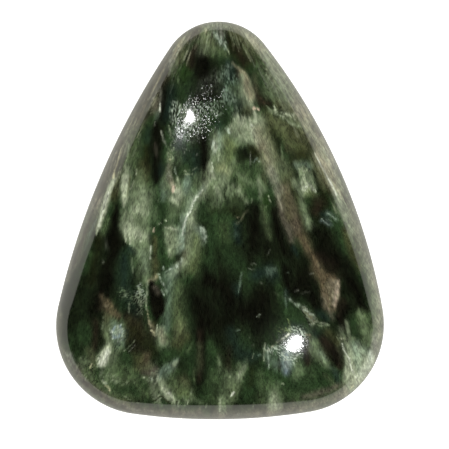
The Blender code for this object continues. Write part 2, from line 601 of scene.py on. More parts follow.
# Strokes of the face, region by region. Each is a style, a colour, a strength and points with widths, in
# millimetres. Later strokes lie over earlier ones.
TIP_STROKES = [
    # The dark field under the tip.
    ("wash", "black", 1.0, (-1.8, 16.7, 0.9), (-1.6, 15.4, 1.5), (-1.4, 14.0, 1.9), (-1.3, 12.6, 2.0)),
    # The green and sage fibres left of the dark field.
    ("wash", "dark_green", 0.9, (-3.3, 13.6, 0.9), (-3.6, 12.4, 1.2)),
    ("wash", "green", 0.5, (-4.2, 14.8, 0.7), (-4.2, 13.6, 0.7)),
    ("wash", "deep_green", 1.0, (-3.3, 15.6, 0.5), (-3.5, 14.9, 0.8), (-3.7, 14.2, 0.6)),
    ("wash", "brown_black", 0.9, (-2.4, 17.4, 0.3), (-2.8, 16.5, 0.6), (-2.8, 15.6, 0.6)),
    ("wash", "grey_brown", 1.0, (-3.3, 18.0, 0.6), (-2.8, 18.6, 0.8), (-2.0, 19.1, 0.5)),
    ("wash", "sage", 0.6, (-3.9, 18.0, 0.4), (-4.2, 17.2, 0.6), (-4.5, 16.0, 0.6), (-4.9, 14.9, 0.4)),
    ("wash", "olive", 0.8, (-3.4, 17.8, 0.4), (-3.6, 17.0, 0.6), (-3.9, 16.0, 0.5)),
    ("plume", "tan", 0.8, (-3.7, 18.3, 0.2), (-4.1, 17.4, 0.4), (-4.5, 16.4, 0.3)),
    ("plume", "grey", 0.7, (-4.9, 16.8, 0.25), (-5.3, 15.8, 0.4), (-5.6, 14.9, 0.3)),
    # The patches at the very tip and the glitter between them.
    ("wash", "sage", 0.8, (-1.4, 19.2, 0.6), (-0.4, 19.4, 0.7), (0.5, 19.2, 0.5)),
    ("wash", "olive", 1.0, (-1.5, 18.6, 0.8), (-1.3, 17.9, 1.1), (-1.0, 17.4, 0.9)),
    ("wash", "moss", 0.8, (-1.4, 18.4, 0.6), (-1.1, 17.7, 0.6)),
    ("wash", "sage_green", 0.6, (-1.6, 18.9, 0.5), (-1.5, 18.1, 0.5)),
    ("wash", "green", 0.9, (-1.3, 17.0, 0.7), (-0.6, 16.8, 0.8), (0.2, 16.8, 0.7), (0.7, 16.3, 0.4)),
    ("plume", "pale_sage", 0.7, (-1.2, 19.35, 0.3), (-0.5, 19.4, 0.35)),
    ("plume", "pale_yellow", 0.9, (-1.45, 18.9, 0.25)),
    ("wash", "teal_sage", 0.8, (-0.5, 18.7, 0.4), (0.0, 18.0, 0.45), (0.5, 17.2, 0.35)),
    ("wash", "grey", 0.9, (0.0, 19.1, 0.4), (0.3, 18.6, 0.35)),
    ("fuzz", "silver", 0.8, (-0.3, 18.45, 0.35), (0.1, 18.0, 0.3)),
    # The dark wedge and the olive slope right of it.
    ("wash", "dark_olive", 1.0, (1.0, 18.8, 0.4), (1.8, 18.2, 0.6)),
    ("wash", "olive_black", 1.0, (0.8, 18.0, 0.3), (1.3, 17.4, 0.8), (2.2, 16.4, 1.1),
     (3.1, 15.2, 0.9)),
    ("wash", "brown_black", 0.7, (1.7, 17.0, 0.5), (2.4, 16.0, 0.7)),
    ("wash", "dark_olive", 0.9, (1.6, 18.7, 0.4), (2.5, 17.6, 0.7), (3.3, 16.5, 0.8), (3.5, 15.8, 0.5)),
    ("wash", "olive", 0.6, (1.7, 18.6, 0.35), (2.4, 17.8, 0.5), (3.2, 16.4, 0.5)),
    ("wash", "dark_green", 1.0, (3.3, 14.8, 0.9), (4.0, 15.8, 0.8), (4.4, 15.0, 0.7)),
    ("wash", "green", 0.5, (3.7, 16.8, 0.5), (4.2, 15.8, 0.6)),
    ("wash", "sage", 0.8, (2.4, 18.7, 0.5), (3.5, 17.7, 0.7), (4.8, 16.4, 0.8), (5.8, 15.0, 0.9),
     (6.8, 13.4, 0.9)),
    ("wash", "tan", 0.5, (3.0, 18.2, 0.5), (4.2, 17.1, 0.6)),
    # The green lobe and its dark border.
    ("wash", "sage_green", 1.0, (4.9, 13.9, 1.0), (5.3, 13.2, 1.3), (6.1, 12.6, 1.2), (6.6, 12.3, 0.8)),
    ("wash", "sage", 0.5, (4.9, 14.0, 0.6), (6.4, 12.7, 0.6)),
    ("wash", "green", 0.7, (4.3, 13.2, 0.5), (5.2, 12.3, 0.6), (6.0, 11.8, 0.5)),
    ("wash", "dark_green", 0.7, (3.6, 14.3, 0.6), (4.0, 13.6, 0.5)),
    ("wash", "dark_olive", 0.8, (5.8, 11.5, 0.7), (6.6, 11.3, 0.6), (7.2, 10.9, 0.5)),
    ("wash", "brown_black", 1.0, (3.5, 13.0, 0.5), (3.8, 12.3, 0.6), (4.4, 11.7, 0.6),
     (4.9, 11.5, 0.3)),
    # The speckled teal field and the streak that runs down past it.
    ("wash", "dark_teal", 1.0, (0.9, 15.6, 0.6), (1.1, 14.6, 1.0), (1.3, 13.4, 1.1), (1.5, 12.2, 1.2)),
    ("wash", "brown_black", 0.7, (1.8, 14.9, 0.3), (1.9, 14.3, 0.4)),
    ("wash", "green", 0.6, (1.4, 13.2, 0.8), (1.6, 12.4, 0.8)),
    ("wash", "sage", 1.0, (2.2, 14.4, 0.4), (2.5, 13.6, 0.8), (2.6, 12.8, 0.9), (2.8, 12.0, 0.9),
     (3.0, 11.2, 0.8)),
    ("wash", "tan", 0.8, (2.5, 13.8, 0.4), (2.8, 13.0, 0.6), (3.1, 12.2, 0.5)),
    ("wash", "dark_olive", 0.6, (2.8, 10.9, 0.6), (2.7, 10.5, 0.6)),
    # Strokes drawn last, over all of these.
    ("wash", "rim_sage", 0.6, (1.6, 19.2, 0.4), (2.6, 18.6, 0.5), (3.4, 18.0, 0.5)),
    ("wash", "olive", 0.7, (3.5, 14.4, 0.4), (3.5, 13.5, 0.4), (3.6, 12.9, 0.3)),
    ("wash", "tan", 0.8, (1.2, 15.7, 0.12), (1.6, 15.3, 0.2), (2.1, 14.9, 0.28), (2.5, 14.4, 0.3),
     (2.85, 13.8, 0.25)),
    ("plume", "sage", 0.5, (-0.7, 19.0, 0.6), (-1.3, 17.8, 1.1), (-1.9, 16.8, 0.7)),
    ("plume", "sage", 0.55, (3.9, 15.4, 0.5), (5.3, 13.6, 0.9), (6.9, 11.3, 0.9)),
    ("wash", "green", 0.5, (2.6, 17.0, 0.6), (4.4, 14.6, 0.7)),
    ("wash", "dark_green", 0.5, (-5.2, 14.6, 0.7), (-4.4, 12.8, 0.9)),
]

UPPER_LEFT_STROKES = [
    # The dark edge inside the brown rim.
    ("wash", "brown_black", 0.8, (-5.4, 15.0, 0.4), (-5.5, 13.8, 0.6), (-6.0, 12.6, 0.5)),
    ("wash", "dark_teal", 1.0, (-4.9, 12.9, 0.8), (-5.2, 11.6, 0.9), (-5.3, 10.4, 0.8)),
    ("wash", "black", 0.8, (-5.5, 12.9, 0.3), (-5.65, 11.4, 0.35), (-5.8, 10.2, 0.35)),
    ("edge", "grey", 0.7, (-5.95, 13.6, 0.15), (-5.95, 12.4, 0.2), (-6.0, 11.8, 0.15)),
    ("wash", "grey_brown", 0.7, (-6.3, 11.8, 0.6), (-6.4, 10.9, 0.5)),
    ("wash", "teal_sage", 0.5, (-6.2, 10.5, 0.4), (-6.4, 9.9, 0.35)),
    # The green triangle inside the grey band.
    ("wash", "dark_green", 1.0, (-7.0, 9.9, 0.4), (-7.4, 8.9, 0.8), (-7.8, 7.8, 1.0), (-7.9, 6.6, 1.0)),
    ("wash", "dark_teal", 0.6, (-7.0, 9.0, 0.5), (-7.2, 8.0, 0.6)),
    ("wash", "green", 0.9, (-8.3, 7.4, 0.6), (-8.5, 6.4, 0.8), (-8.5, 5.4, 0.7)),
    ("wash", "olive_black", 0.9, (-7.3, 7.4, 0.4), (-7.3, 6.2, 0.5), (-7.1, 5.2, 0.5)),
    ("wash", "dark_olive", 0.9, (-7.7, 5.8, 0.5), (-7.5, 4.8, 0.8), (-7.4, 4.2, 0.7)),
    ("wash", "black", 1.0, (-6.3, 9.5, 0.4), (-6.3, 8.2, 0.7), (-6.4, 6.4, 0.7), (-6.3, 4.8, 0.6),
     (-6.3, 3.4, 0.4)),
    ("wash", "dark_teal", 0.7, (-5.8, 5.4, 0.4), (-5.9, 4.6, 0.4)),
    ("edge", "grey_brown", 0.5, (-6.35, 7.6, 0.15), (-6.3, 6.3, 0.2)),
    # The bands along the left side.
    ("wash", "sage", 0.4, (-8.6, 9.8, 0.5), (-8.9, 8.6, 0.6), (-9.2, 7.4, 0.5)),
    ("wash", "sage_green", 0.6, (-8.9, 7.0, 0.3), (-9.0, 5.8, 0.4), (-8.9, 4.8, 0.6)),
    ("wash", "moss", 0.8, (-7.8, 4.3, 0.7), (-7.8, 3.6, 1.0)),
    ("wash", "sage_green", 1.0, (-7.8, 3.2, 1.0), (-7.9, 2.2, 1.2), (-7.9, 1.2, 1.2), (-8.0, 0.2, 1.2)),
    ("wash", "sage", 0.9, (-7.8, 2.6, 0.9), (-7.8, 1.5, 1.1), (-8.0, 0.6, 1.0)),
    ("wash", "pale_sage", 0.5, (-8.3, 1.2, 0.4), (-8.5, 0.4, 0.5)),
    ("wash", "sage_green", 0.9, (-9.4, 1.0, 0.4), (-9.2, 0.2, 0.6), (-8.8, -0.4, 0.8),
     (-7.6, -0.6, 0.9), (-7.0, -0.8, 0.5)),
    ("wash", "dark_olive", 0.9, (-10.3, 4.8, 0.4), (-10.4, 3.6, 0.5), (-10.5, 2.6, 0.6)),
    ("wash", "dark_olive", 0.8, (-10.5, 3.2, 0.5), (-10.6, 2.4, 0.6), (-10.7, 1.6, 0.6)),
    ("wash", "dark_green", 0.9, (-10.8, 1.6, 0.6), (-11.1, 0.4, 0.6), (-11.4, -0.8, 0.5)),
    ("wash", "green", 0.8, (-11.2, 0.2, 0.4), (-11.4, -0.8, 0.5), (-11.6, -1.6, 0.4)),
    ("wash", "black", 1.0, (-10.2, 1.5, 0.2), (-10.35, 0.4, 0.5), (-10.4, -0.8, 0.8),
     (-10.4, -2.2, 1.0)),
    ("wash", "sage", 0.8, (-10.7, 4.2, 0.4), (-11.3, 2.2, 0.6), (-11.8, 0.6, 0.5), (-12.1, -0.8, 0.4)),
    ("patch", "pale_sage", 1.0, (-10.62, 4.3, 0.1), (-10.95, 3.1, 0.26), (-11.25, 2.1, 0.36),
     (-11.55, 1.1, 0.34), (-11.8, 0.2, 0.3), (-12.0, -0.6, 0.22), (-12.2, -1.4, 0.08)),
    ("wash", "sage", 1.0, (-9.3, 5.4, 0.4), (-9.4, 4.4, 0.8), (-9.5, 3.2, 0.8), (-9.5, 2.2, 0.5)),
    ("patch", "pale_sage", 0.9, (-9.4, 4.3, 0.4), (-9.5, 3.4, 0.5), (-9.5, 2.4, 0.32),
     (-9.5, 1.4, 0.1)),
    ("edge", "olive", 0.9, (-8.9, 4.3, 0.12), (-9.05, 3.4, 0.12), (-9.25, 2.4, 0.1)),
    ("edge", "dark_green", 0.9, (-6.3, 3.4, 0.35), (-6.2, 1.6, 0.4), (-6.2, 0.4, 0.35),
     (-6.2, -1.6, 0.35), (-6.3, -3.4, 0.3)),
    # Softer strokes over these.
    ("plume", "sage_green", 0.55, (-7.8, 5.0, 0.5), (-8.2, 2.2, 0.9)),
    ("wash", "green", 0.4, (-7.6, 9.8, 0.5), (-8.8, 6.8, 0.8)),
]

CENTRE_STROKES = [
    # Between the highlight and the bright edge.
    ("wash", "dark_green", 0.9, (-2.8, 6.6, 1.2), (-3.2, 5.6, 1.2), (-5.2, 1.2, 1.2),
     (-5.4, -0.8, 1.0)),
    ("wash", "dark_teal", 0.8, (-3.9, 8.6, 0.6), (-4.0, 7.2, 0.7), (-3.8, 6.0, 0.6)),
    ("wash", "sage_green", 0.5, (-5.0, 7.2, 0.3), (-4.95, 6.4, 0.4), (-4.9, 5.2, 0.35)),
    ("wash", "teal_sage", 0.7, (-5.5, 3.6, 0.5), (-5.5, 2.8, 0.6), (-5.6, 2.2, 0.4)),
    ("wash", "green", 0.9, (-3.2, 4.4, 0.8), (-3.6, 1.6, 0.6), (-4.2, 0.7, 0.7)),
    ("wash", "teal_sage", 0.9, (-3.4, 3.6, 0.6), (-3.3, 2.8, 0.6)),
    ("wash", "sage", 1.0, (-4.5, 3.3, 0.7), (-4.3, 2.4, 1.0), (-4.2, 1.7, 0.6)),
    ("fuzz", "pale_sage", 1.0, (-4.4, 3.0, 0.6), (-4.3, 2.2, 0.8)),
    ("wash", "pink", 0.5, (-5.0, 4.2, 0.5), (-4.6, 3.4, 0.5)),
    ("wash", "sage_green", 0.6, (-4.8, 1.2, 0.5), (-4.9, 0.2, 0.5)),
    # The long bright edge and the feather to its right.
    ("wash", "sage", 1.0, (-1.4, 3.4, 0.6), (-2.0, 2.3, 0.8), (-2.4, 1.2, 0.7), (-2.8, 0.2, 0.8),
     (-2.9, -1.2, 1.0), (-3.0, -2.6, 0.9), (-3.2, -3.6, 0.6)),
    ("wash", "dark_green", 0.7, (-2.0, 1.4, 0.35), (-1.95, 0.2, 0.4)),
    ("wash", "mist", 0.6, (-2.2, -0.8, 0.5), (-2.0, -1.8, 0.6), (-1.8, -2.3, 0.4)),
    ("wash", "moss", 1.0, (-2.4, -1.6, 0.6), (-2.5, -2.8, 0.8), (-2.6, -4.0, 0.8), (-2.7, -5.0, 0.7)),
    ("plume", "mist", 1.0, (-1.3, 3.4, 0.1, 0.5), (-1.8, 2.9, 0.1, 0.6), (-2.25, 2.4, 0.1, 0.7),
     (-2.55, 1.75, 0.1, 0.8), (-2.75, 0.9, 0.1, 0.9), (-3.15, 0.1, 0.12, 1.2), (-3.5, -0.8, 0.15, 1.3),
     (-3.65, -2.0, 0.2, 1.2), (-3.75, -2.9, 0.2, 0.8)),
    ("plume", "tan", 0.5, (-3.4, -3.2, 0.4), (-3.4, -4.0, 0.5)),
    ("wash", "sage", 1.0, (-4.8, -0.9, 0.7), (-4.8, -2.0, 0.8), (-4.8, -2.9, 0.6), (-4.9, -3.5, 0.3)),
    ("fuzz", "pale_sage", 0.6, (-4.9, -1.2, 0.4), (-4.8, -2.2, 0.5)),
    # Left of the plume in the middle.
    ("wash", "black", 1.0, (-1.7, 8.2, 0.9), (-1.6, 6.6, 1.0), (-1.5, 5.2, 0.7), (-1.6, 4.2, 0.3)),
    ("wash", "dark_teal", 0.9, (-2.6, 6.6, 0.7), (-2.5, 4.4, 0.7)),
    ("wash", "sage", 0.9, (-0.1, 8.4, 0.9), (-0.3, 7.2, 0.9), (-0.1, 6.0, 0.9), (0.0, 4.8, 1.1),
     (-0.4, 3.6, 1.3)),
    ("wash", "dark_teal", 0.7, (-0.1, 9.6, 0.6), (0.1, 8.8, 0.5)),
    ("plume", "silver", 0.6, (-0.6, 7.8, 0.25), (-0.4, 7.2, 0.4), (-0.5, 6.5, 0.25)),
    ("wash", "pale_sage", 0.6, (-0.9, 5.4, 0.5), (-0.8, 4.6, 0.6), (-1.2, 3.6, 0.6)),
    ("edge", "pale_sage", 1.0, (-0.85, 5.8, 0.15, 0.2), (-0.8, 5.2, 0.15, 0.25),
     (-0.85, 4.8, 0.15, 0.3), (-0.6, 4.1, 0.2, 0.3)),
    ("wash", "moss", 0.9, (0.6, 8.0, 0.5), (1.0, 7.5, 0.8), (1.4, 7.2, 0.5)),
    ("wash", "moss", 0.8, (0.3, 5.4, 0.8), (0.6, 4.8, 0.9)),
    ("plume", "tan", 0.4, (0.2, 5.1, 0.4), (0.6, 4.8, 0.4)),
    # Patches further left, over the first ones.
    ("wash", "green", 0.8, (-4.9, 6.6, 0.4), (-4.9, 5.6, 0.5), (-5.0, 4.6, 0.5)),
    ("wash", "grey_brown", 0.6, (-5.0, 5.4, 0.4), (-5.1, 4.2, 0.5)),
    ("wash", "sage_green", 0.8, (-5.4, 4.4, 0.4), (-5.3, 3.4, 0.6)),
    ("wash", "green", 0.7, (-4.1, 6.6, 0.4), (-4.1, 5.6, 0.4)),
    ("wash", "teal_sage", 0.8, (-3.2, 4.3, 0.35), (-3.2, 3.4, 0.45)),
    ("wash", "sage_green", 0.8, (-4.1, 4.2, 0.3), (-4.1, 3.4, 0.4)),
    ("wash", "green", 0.5, (-2.4, 4.4, 0.3), (-2.3, 3.6, 0.3)),
    # The black core of the tip's dark field, and painted glints there and round the upper highlight.
    ("wash", "black", 0.65, (-2.0, 15.9, 0.8), (-1.2, 14.4, 1.1), (-0.5, 13.0, 0.7)),
    ("glitter", "silver", 0.55, (0.9, 15.2, 0.6), (-0.4, 13.9, 1.1), (-1.4, 13.2, 1.0)),
    ("glitter", "silver", 0.5, (0.8, 12.4, 0.8), (1.6, 10.4, 0.8)),
    ("glitter", "silver", 0.6, (-4.9, 8.8, 0.6), (-3.4, 8.0, 0.9), (-2.2, 8.6, 0.6)),
    # A painted highlight: white specks over the upper highlight's core, which make it rounder and larger.
    ("glitter", "white", 0.7, (-3.7, 10.9, 0.7), (-2.4, 9.9, 0.7)),
]

PLUME_STROKES = [
    # The broad plume in the middle.
    ("wash", "sage_green", 1.0, (0.8, 8.4, 0.9), (2.0, 8.2, 1.3), (3.2, 8.8, 1.2)),
    ("wash", "moss", 0.9, (0.4, 7.8, 0.6), (1.0, 7.1, 0.7), (0.9, 6.2, 0.6)),
    ("wash", "sage_green", 0.9, (-0.2, 6.4, 0.6), (-0.2, 5.6, 0.8), (0.0, 4.2, 0.9), (-0.4, 3.4, 0.9)),
    ("wash", "mist", 0.8, (0.1, 8.7, 0.25), (0.05, 8.0, 0.4), (0.1, 7.3, 0.4)),
    ("wash", "sage", 1.0, (1.3, 9.4, 0.5), (2.0, 9.1, 1.0), (3.0, 9.0, 1.1), (3.7, 9.8, 0.9)),
    ("wash", "sage", 0.8, (2.0, 8.2, 0.7), (2.9, 8.0, 0.8), (3.6, 7.8, 0.5)),
    ("plume", "pale_sage", 0.8, (1.4, 10.2, 0.3), (2.0, 9.6, 0.4), (2.6, 9.2, 0.5), (3.2, 8.6, 0.4)),
    ("plume", "pale_sage", 0.8, (2.5, 10.1, 0.4), (3.1, 9.5, 0.5), (3.5, 8.8, 0.4), (3.8, 7.9, 0.3)),
    ("edge", "pale_sage", 1.0, (3.5, 10.9, 0.15), (3.6, 10.3, 0.25), (3.5, 9.7, 0.2)),
    ("wash", "tan", 0.5, (3.7, 9.0, 0.5), (3.8, 8.0, 0.4), (4.1, 7.2, 0.4)),
    ("plume", "sage_green", 0.7, (1.6, 7.8, 0.4), (1.9, 7.3, 0.4)),
    ("plume", "sage", 0.7, (2.3, 8.2, 0.25), (2.6, 7.7, 0.25)),
    # The dark hole in it.
    ("wash", "green", 0.8, (1.5, 6.2, 0.5), (1.5, 5.5, 0.6)),
    ("wash", "green_black", 1.0, (2.1, 6.5, 0.6), (2.5, 6.2, 0.75), (1.8, 5.9, 0.4)),
    ("wash", "black", 0.8, (2.4, 6.9, 0.4), (2.7, 6.4, 0.45)),
    ("wash", "olive_black", 1.0, (3.0, 7.2, 0.35), (3.4, 6.8, 0.5), (3.7, 6.5, 0.3)),
    # The lower half of the plume, and the green right of it.
    ("wash", "green", 1.0, (1.6, 5.2, 0.7), (2.6, 5.1, 0.8), (3.7, 5.2, 0.8), (2.6, 4.2, 1.2),
     (2.0, 3.0, 1.2)),
    ("wash", "dark_green", 0.7, (2.2, 5.2, 0.5), (3.3, 5.3, 0.6), (3.3, 4.5, 0.6), (2.6, 4.0, 0.4)),
    ("wash", "olive", 0.6, (4.3, 4.4, 0.35), (4.5, 3.6, 0.35)),
    ("wash", "moss", 0.8, (0.0, 5.2, 0.6), (0.7, 4.9, 0.6)),
    ("wash", "pale_yellow", 0.25, (0.1, 5.1, 0.5), (0.6, 4.9, 0.5)),
    ("wash", "sage_green", 0.7, (1.8, 4.6, 0.3), (2.7, 3.9, 0.4), (3.3, 3.4, 0.4)),
    ("plume", "sage", 0.7, (1.4, 3.4, 0.3), (1.9, 2.8, 0.5), (2.4, 2.1, 0.4), (2.8, 1.8, 0.25)),
    ("plume", "sage_green", 0.9, (-0.6, 3.4, 0.8), (0.4, 3.2, 0.8), (1.0, 2.6, 0.6)),
    ("edge", "sage", 0.8, (-0.5, 3.2, 0.25), (0.0, 2.5, 0.25), (0.25, 1.9, 0.2)),
    ("wash", "green", 0.6, (-1.0, 2.9, 0.5), (-0.8, 2.2, 0.5)),
    ("wash", "dark_green", 0.8, (2.9, 3.1, 0.5), (3.2, 2.3, 0.5)),
    ("wash", "sage_green", 1.0, (3.8, 4.4, 0.25), (4.0, 3.6, 0.4), (4.3, 3.0, 0.4)),
    ("plume", "sage", 0.7, (3.8, 4.0, 0.3), (3.9, 3.0, 0.3), (4.0, 2.0, 0.3)),
    ("wash", "deep_green", 0.9, (4.5, 2.3, 0.5), (4.6, 1.4, 0.5)),
    ("wash", "green", 1.0, (4.1, 1.4, 0.3), (4.4, 0.2, 0.5), (4.7, -0.9, 0.5), (4.9, -1.9, 0.3)),
    # Under the plume.
    ("wash", "dark_green", 0.9, (-1.6, 1.4, 0.9), (-1.4, 0.4, 1.0)),
    ("wash", "green", 0.5, (-0.8, 1.4, 0.8), (0.6, 1.5, 0.8), (1.8, 1.4, 0.8)),
    ("wash", "olive_black", 0.6, (-0.6, 0.9, 0.5), (0.8, 0.9, 0.5), (1.8, 0.8, 0.5)),
    ("wash", "dark_green", 1.0, (0.0, 0.2, 1.2), (0.3, -0.8, 1.4), (0.4, -1.8, 1.0)),
    ("wash", "moss", 0.35, (0.4, -0.6, 0.9), (0.5, -1.6, 0.8)),
    ("wash", "black", 1.0, (3.4, 1.2, 0.7), (3.4, -0.4, 1.2), (3.4, -2.4, 2.0)),
    ("wash", "dark_teal", 1.0, (1.6, -0.4, 0.5), (1.6, -1.4, 0.7), (1.8, -2.0, 0.5)),
    ("wash", "teal_sage", 0.3, (1.6, -1.4, 0.4)),
    ("edge", "tan", 0.5, (2.8, 1.0, 0.08), (2.3, 0.5, 0.1), (2.0, 0.0, 0.12), (1.6, -0.3, 0.1)),
    ("plume", "teal_sage", 1.0, (-1.8, -0.7, 0.25), (-1.7, -1.3, 0.4), (-1.45, -1.8, 0.25)),
    # Longer feathers over these.
    ("plume", "sage_green", 0.55, (-1.6, 4.9, 0.5), (-2.5, 3.0, 0.8), (-3.1, 0.8, 0.6)),
    ("plume", "sage_green", 0.6, (-2.7, -1.2, 0.5), (-2.8, -3.0, 0.9), (-3.6, -5.0, 0.6)),
    ("plume", "sage", 0.4, (1.2, 5.6, 0.5), (0.4, 3.4, 0.8), (-0.4, 1.6, 0.6)),
]

RIGHT_STROKES = [
    # The olive field and its pale edge.
    ("wash", "dark_olive", 1.0, (4.8, 10.2, 0.9), (6.2, 9.2, 1.3), (7.6, 8.2, 1.4), (8.2, 7.0, 1.3)),
    ("wash", "olive", 0.4, (5.2, 9.6, 0.9), (6.8, 8.6, 1.2), (7.6, 7.4, 1.2)),
    ("wash", "olive_black", 0.5, (5.4, 8.8, 0.4), (5.6, 7.9, 0.4), (5.7, 7.2, 0.4)),
    ("wash", "olive_black", 0.7, (7.6, 7.2, 0.5), (8.2, 6.4, 0.6), (7.3, 5.8, 0.5)),
    ("wash", "brown_black", 0.5, (6.7, 7.4, 0.4), (6.6, 6.9, 0.3)),
    ("wash", "olive", 0.8, (5.6, 9.8, 0.6), (6.4, 9.2, 0.6)),
    ("wash", "sage_green", 0.6, (5.0, 10.7, 0.4), (6.2, 10.3, 0.4), (7.4, 9.7, 0.4), (8.6, 9.0, 0.3)),
    ("wash", "tan", 0.6, (8.2, 10.6, 1.0), (9.2, 9.2, 1.0), (10.0, 7.6, 0.9)),
    ("wash", "brown", 0.6, (9.6, 7.4, 0.4)),
    # The tan streak that leans to the right and turns brown further down, and its dark edges.
    ("wash", "tan", 0.9, (3.8, 9.2, 0.8), (4.1, 8.2, 1.0), (4.4, 7.0, 1.1), (4.8, 6.0, 1.0),
     (5.1, 5.0, 0.9)),
    ("wash", "olive", 0.7, (4.6, 8.8, 0.3), (5.0, 7.6, 0.35), (5.1, 6.6, 0.5), (6.0, 5.8, 0.9),
     (6.4, 5.0, 0.9), (5.8, 4.0, 0.9)),
    ("wash", "sage_green", 0.5, (5.9, 5.6, 0.6), (6.4, 4.6, 0.7)),
    ("wash", "dark_olive", 0.7, (6.7, 4.4, 0.7), (7.1, 3.6, 0.5)),
    ("wash", "brown", 1.0, (6.2, 3.2, 0.9), (6.6, 1.8, 1.0), (7.2, 0.2, 1.0), (7.7, -1.0, 0.8),
     (8.3, -2.2, 0.8)),
    ("wash", "grey", 0.6, (5.0, 5.2, 0.4), (5.3, 4.2, 0.6), (5.6, 3.2, 0.6), (6.0, 2.2, 0.5),
     (6.3, 1.2, 0.4)),
    ("wash", "grey_brown", 0.9, (5.9, 1.6, 0.5), (6.3, 0.2, 0.6), (6.8, -1.0, 0.6), (7.2, -2.0, 0.5)),
    ("wash", "olive", 0.3, (7.0, 2.4, 0.5), (7.4, 0.6, 0.6)),
    ("edge", "rim_sage", 0.8, (4.9, 5.2, 0.15), (5.2, 4.2, 0.28), (5.4, 3.2, 0.25), (5.75, 2.1, 0.2),
     (6.1, 1.0, 0.12)),
    ("edge", "sage_green", 0.8, (6.05, 7.4, 0.1), (6.15, 6.2, 0.18)),
    ("edge", "olive_black", 1.0, (7.1, 3.2, 0.2), (7.6, 2.3, 0.35), (7.95, 1.4, 0.2)),
    ("wash", "black", 1.0, (5.3, 0.9, 0.4), (5.6, -0.6, 0.6), (5.9, -1.8, 0.9), (6.3, -3.0, 1.2)),
    # The patch of short fibres, the moss under it and the dark ground round them.
    ("wash", "teal_sage", 0.8, (7.6, 5.5, 0.5), (8.6, 5.5, 0.6), (9.2, 5.4, 0.3)),
    ("patch", "sage_green", 1.0, (8.2, 4.9, 0.5), (8.4, 4.3, 0.8), (8.6, 3.6, 0.9), (8.6, 3.0, 0.7)),
    ("wash", "sage", 0.7, (8.4, 3.9, 0.8), (8.7, 3.3, 0.8)),
    ("fuzz", "pale_sage", 0.8, (8.2, 4.0, 0.5), (8.7, 3.4, 0.8)),
    ("wash", "pale_sage", 0.8, (8.1, 3.3, 0.35), (8.8, 3.15, 0.4), (9.4, 3.1, 0.25)),
    ("wash", "sage", 0.8, (7.15, 4.1, 0.2), (7.45, 3.4, 0.35), (7.8, 2.9, 0.3)),
    ("wash", "sage", 0.7, (8.05, 2.8, 0.3), (8.15, 2.0, 0.3), (8.2, 1.2, 0.3)),
    ("wash", "moss", 1.0, (8.8, 2.6, 0.6), (9.4, 2.5, 0.5)),
    ("wash", "dark_green", 0.8, (8.7, 1.9, 0.6), (9.3, 2.1, 0.5)),
    ("wash", "olive_black", 0.7, (9.8, 5.0, 0.4), (10.2, 3.6, 0.6), (10.6, 2.4, 0.7), (9.8, 1.6, 1.1)),
    ("wash", "olive", 0.9, (9.2, 6.2, 0.4), (9.6, 5.2, 0.5), (9.9, 4.2, 0.5), (10.5, 3.4, 0.4)),
    ("wash", "brown_black", 0.9, (9.8, 1.9, 0.8), (9.5, 1.0, 0.6)),
    ("wash", "sage_green", 0.9, (8.2, 1.6, 0.5), (8.4, 0.4, 0.6), (8.8, -0.4, 0.7)),
    ("wash", "sage", 0.5, (8.5, 0.4, 0.4), (8.8, -0.3, 0.4)),
    ("wash", "dark_teal", 1.0, (10.2, 0.8, 0.4), (10.8, 0.6, 0.5)),
    ("wash", "teal_sage", 0.7, (10.6, 0.8, 0.3), (11.1, 0.5, 0.35), (11.5, 0.1, 0.25)),
    ("wash", "blue_grey", 0.5, (10.0, 0.1, 0.2), (10.6, 0.0, 0.35), (11.0, -0.4, 0.3)),
    ("wash", "black", 0.8, (9.6, -1.2, 0.8), (10.6, -1.6, 1.0), (10.4, -3.0, 1.6)),
    # The band inside the right rim.
    ("wash", "tan", 0.7, (9.6, 6.6, 0.4), (10.2, 5.6, 0.7), (10.9, 4.2, 0.8), (11.5, 2.8, 0.6)),
    ("wash", "sage", 0.9, (11.5, 2.6, 0.4), (11.9, 1.6, 0.7), (12.4, 0.4, 0.7), (12.9, -0.8, 0.5)),
    # Softer strokes over all of these.
    ("wash", "grey_brown", 0.5, (6.2, 3.0, 0.6), (6.6, 1.6, 0.8), (7.2, 0.2, 0.7), (7.7, -1.0, 0.5)),
    ("wash", "dark_olive", 0.5, (6.3, 2.6, 0.5), (6.7, 1.2, 0.6), (6.9, 0.2, 0.5)),
    ("plume", "moss", 0.5, (4.7, 10.4, 0.6), (6.2, 8.9, 1.0), (7.5, 7.4, 0.7)),
    ("plume", "sage", 0.4, (8.0, 5.4, 0.7), (8.7, 4.2, 1.1), (9.2, 3.0, 0.7)),
    ("plume", "sage_green", 0.45, (6.4, 5.2, 0.5), (7.4, 3.4, 0.7), (7.9, 2.0, 0.5)),
    ("plume", "sage", 0.5, (8.6, 9.9, 0.4), (9.8, 7.8, 0.6), (10.6, 5.9, 0.4)),
    ("plume", "sage", 0.35, (3.9, 9.0, 0.6), (4.9, 6.2, 0.9), (6.0, 3.2, 0.7)),
]

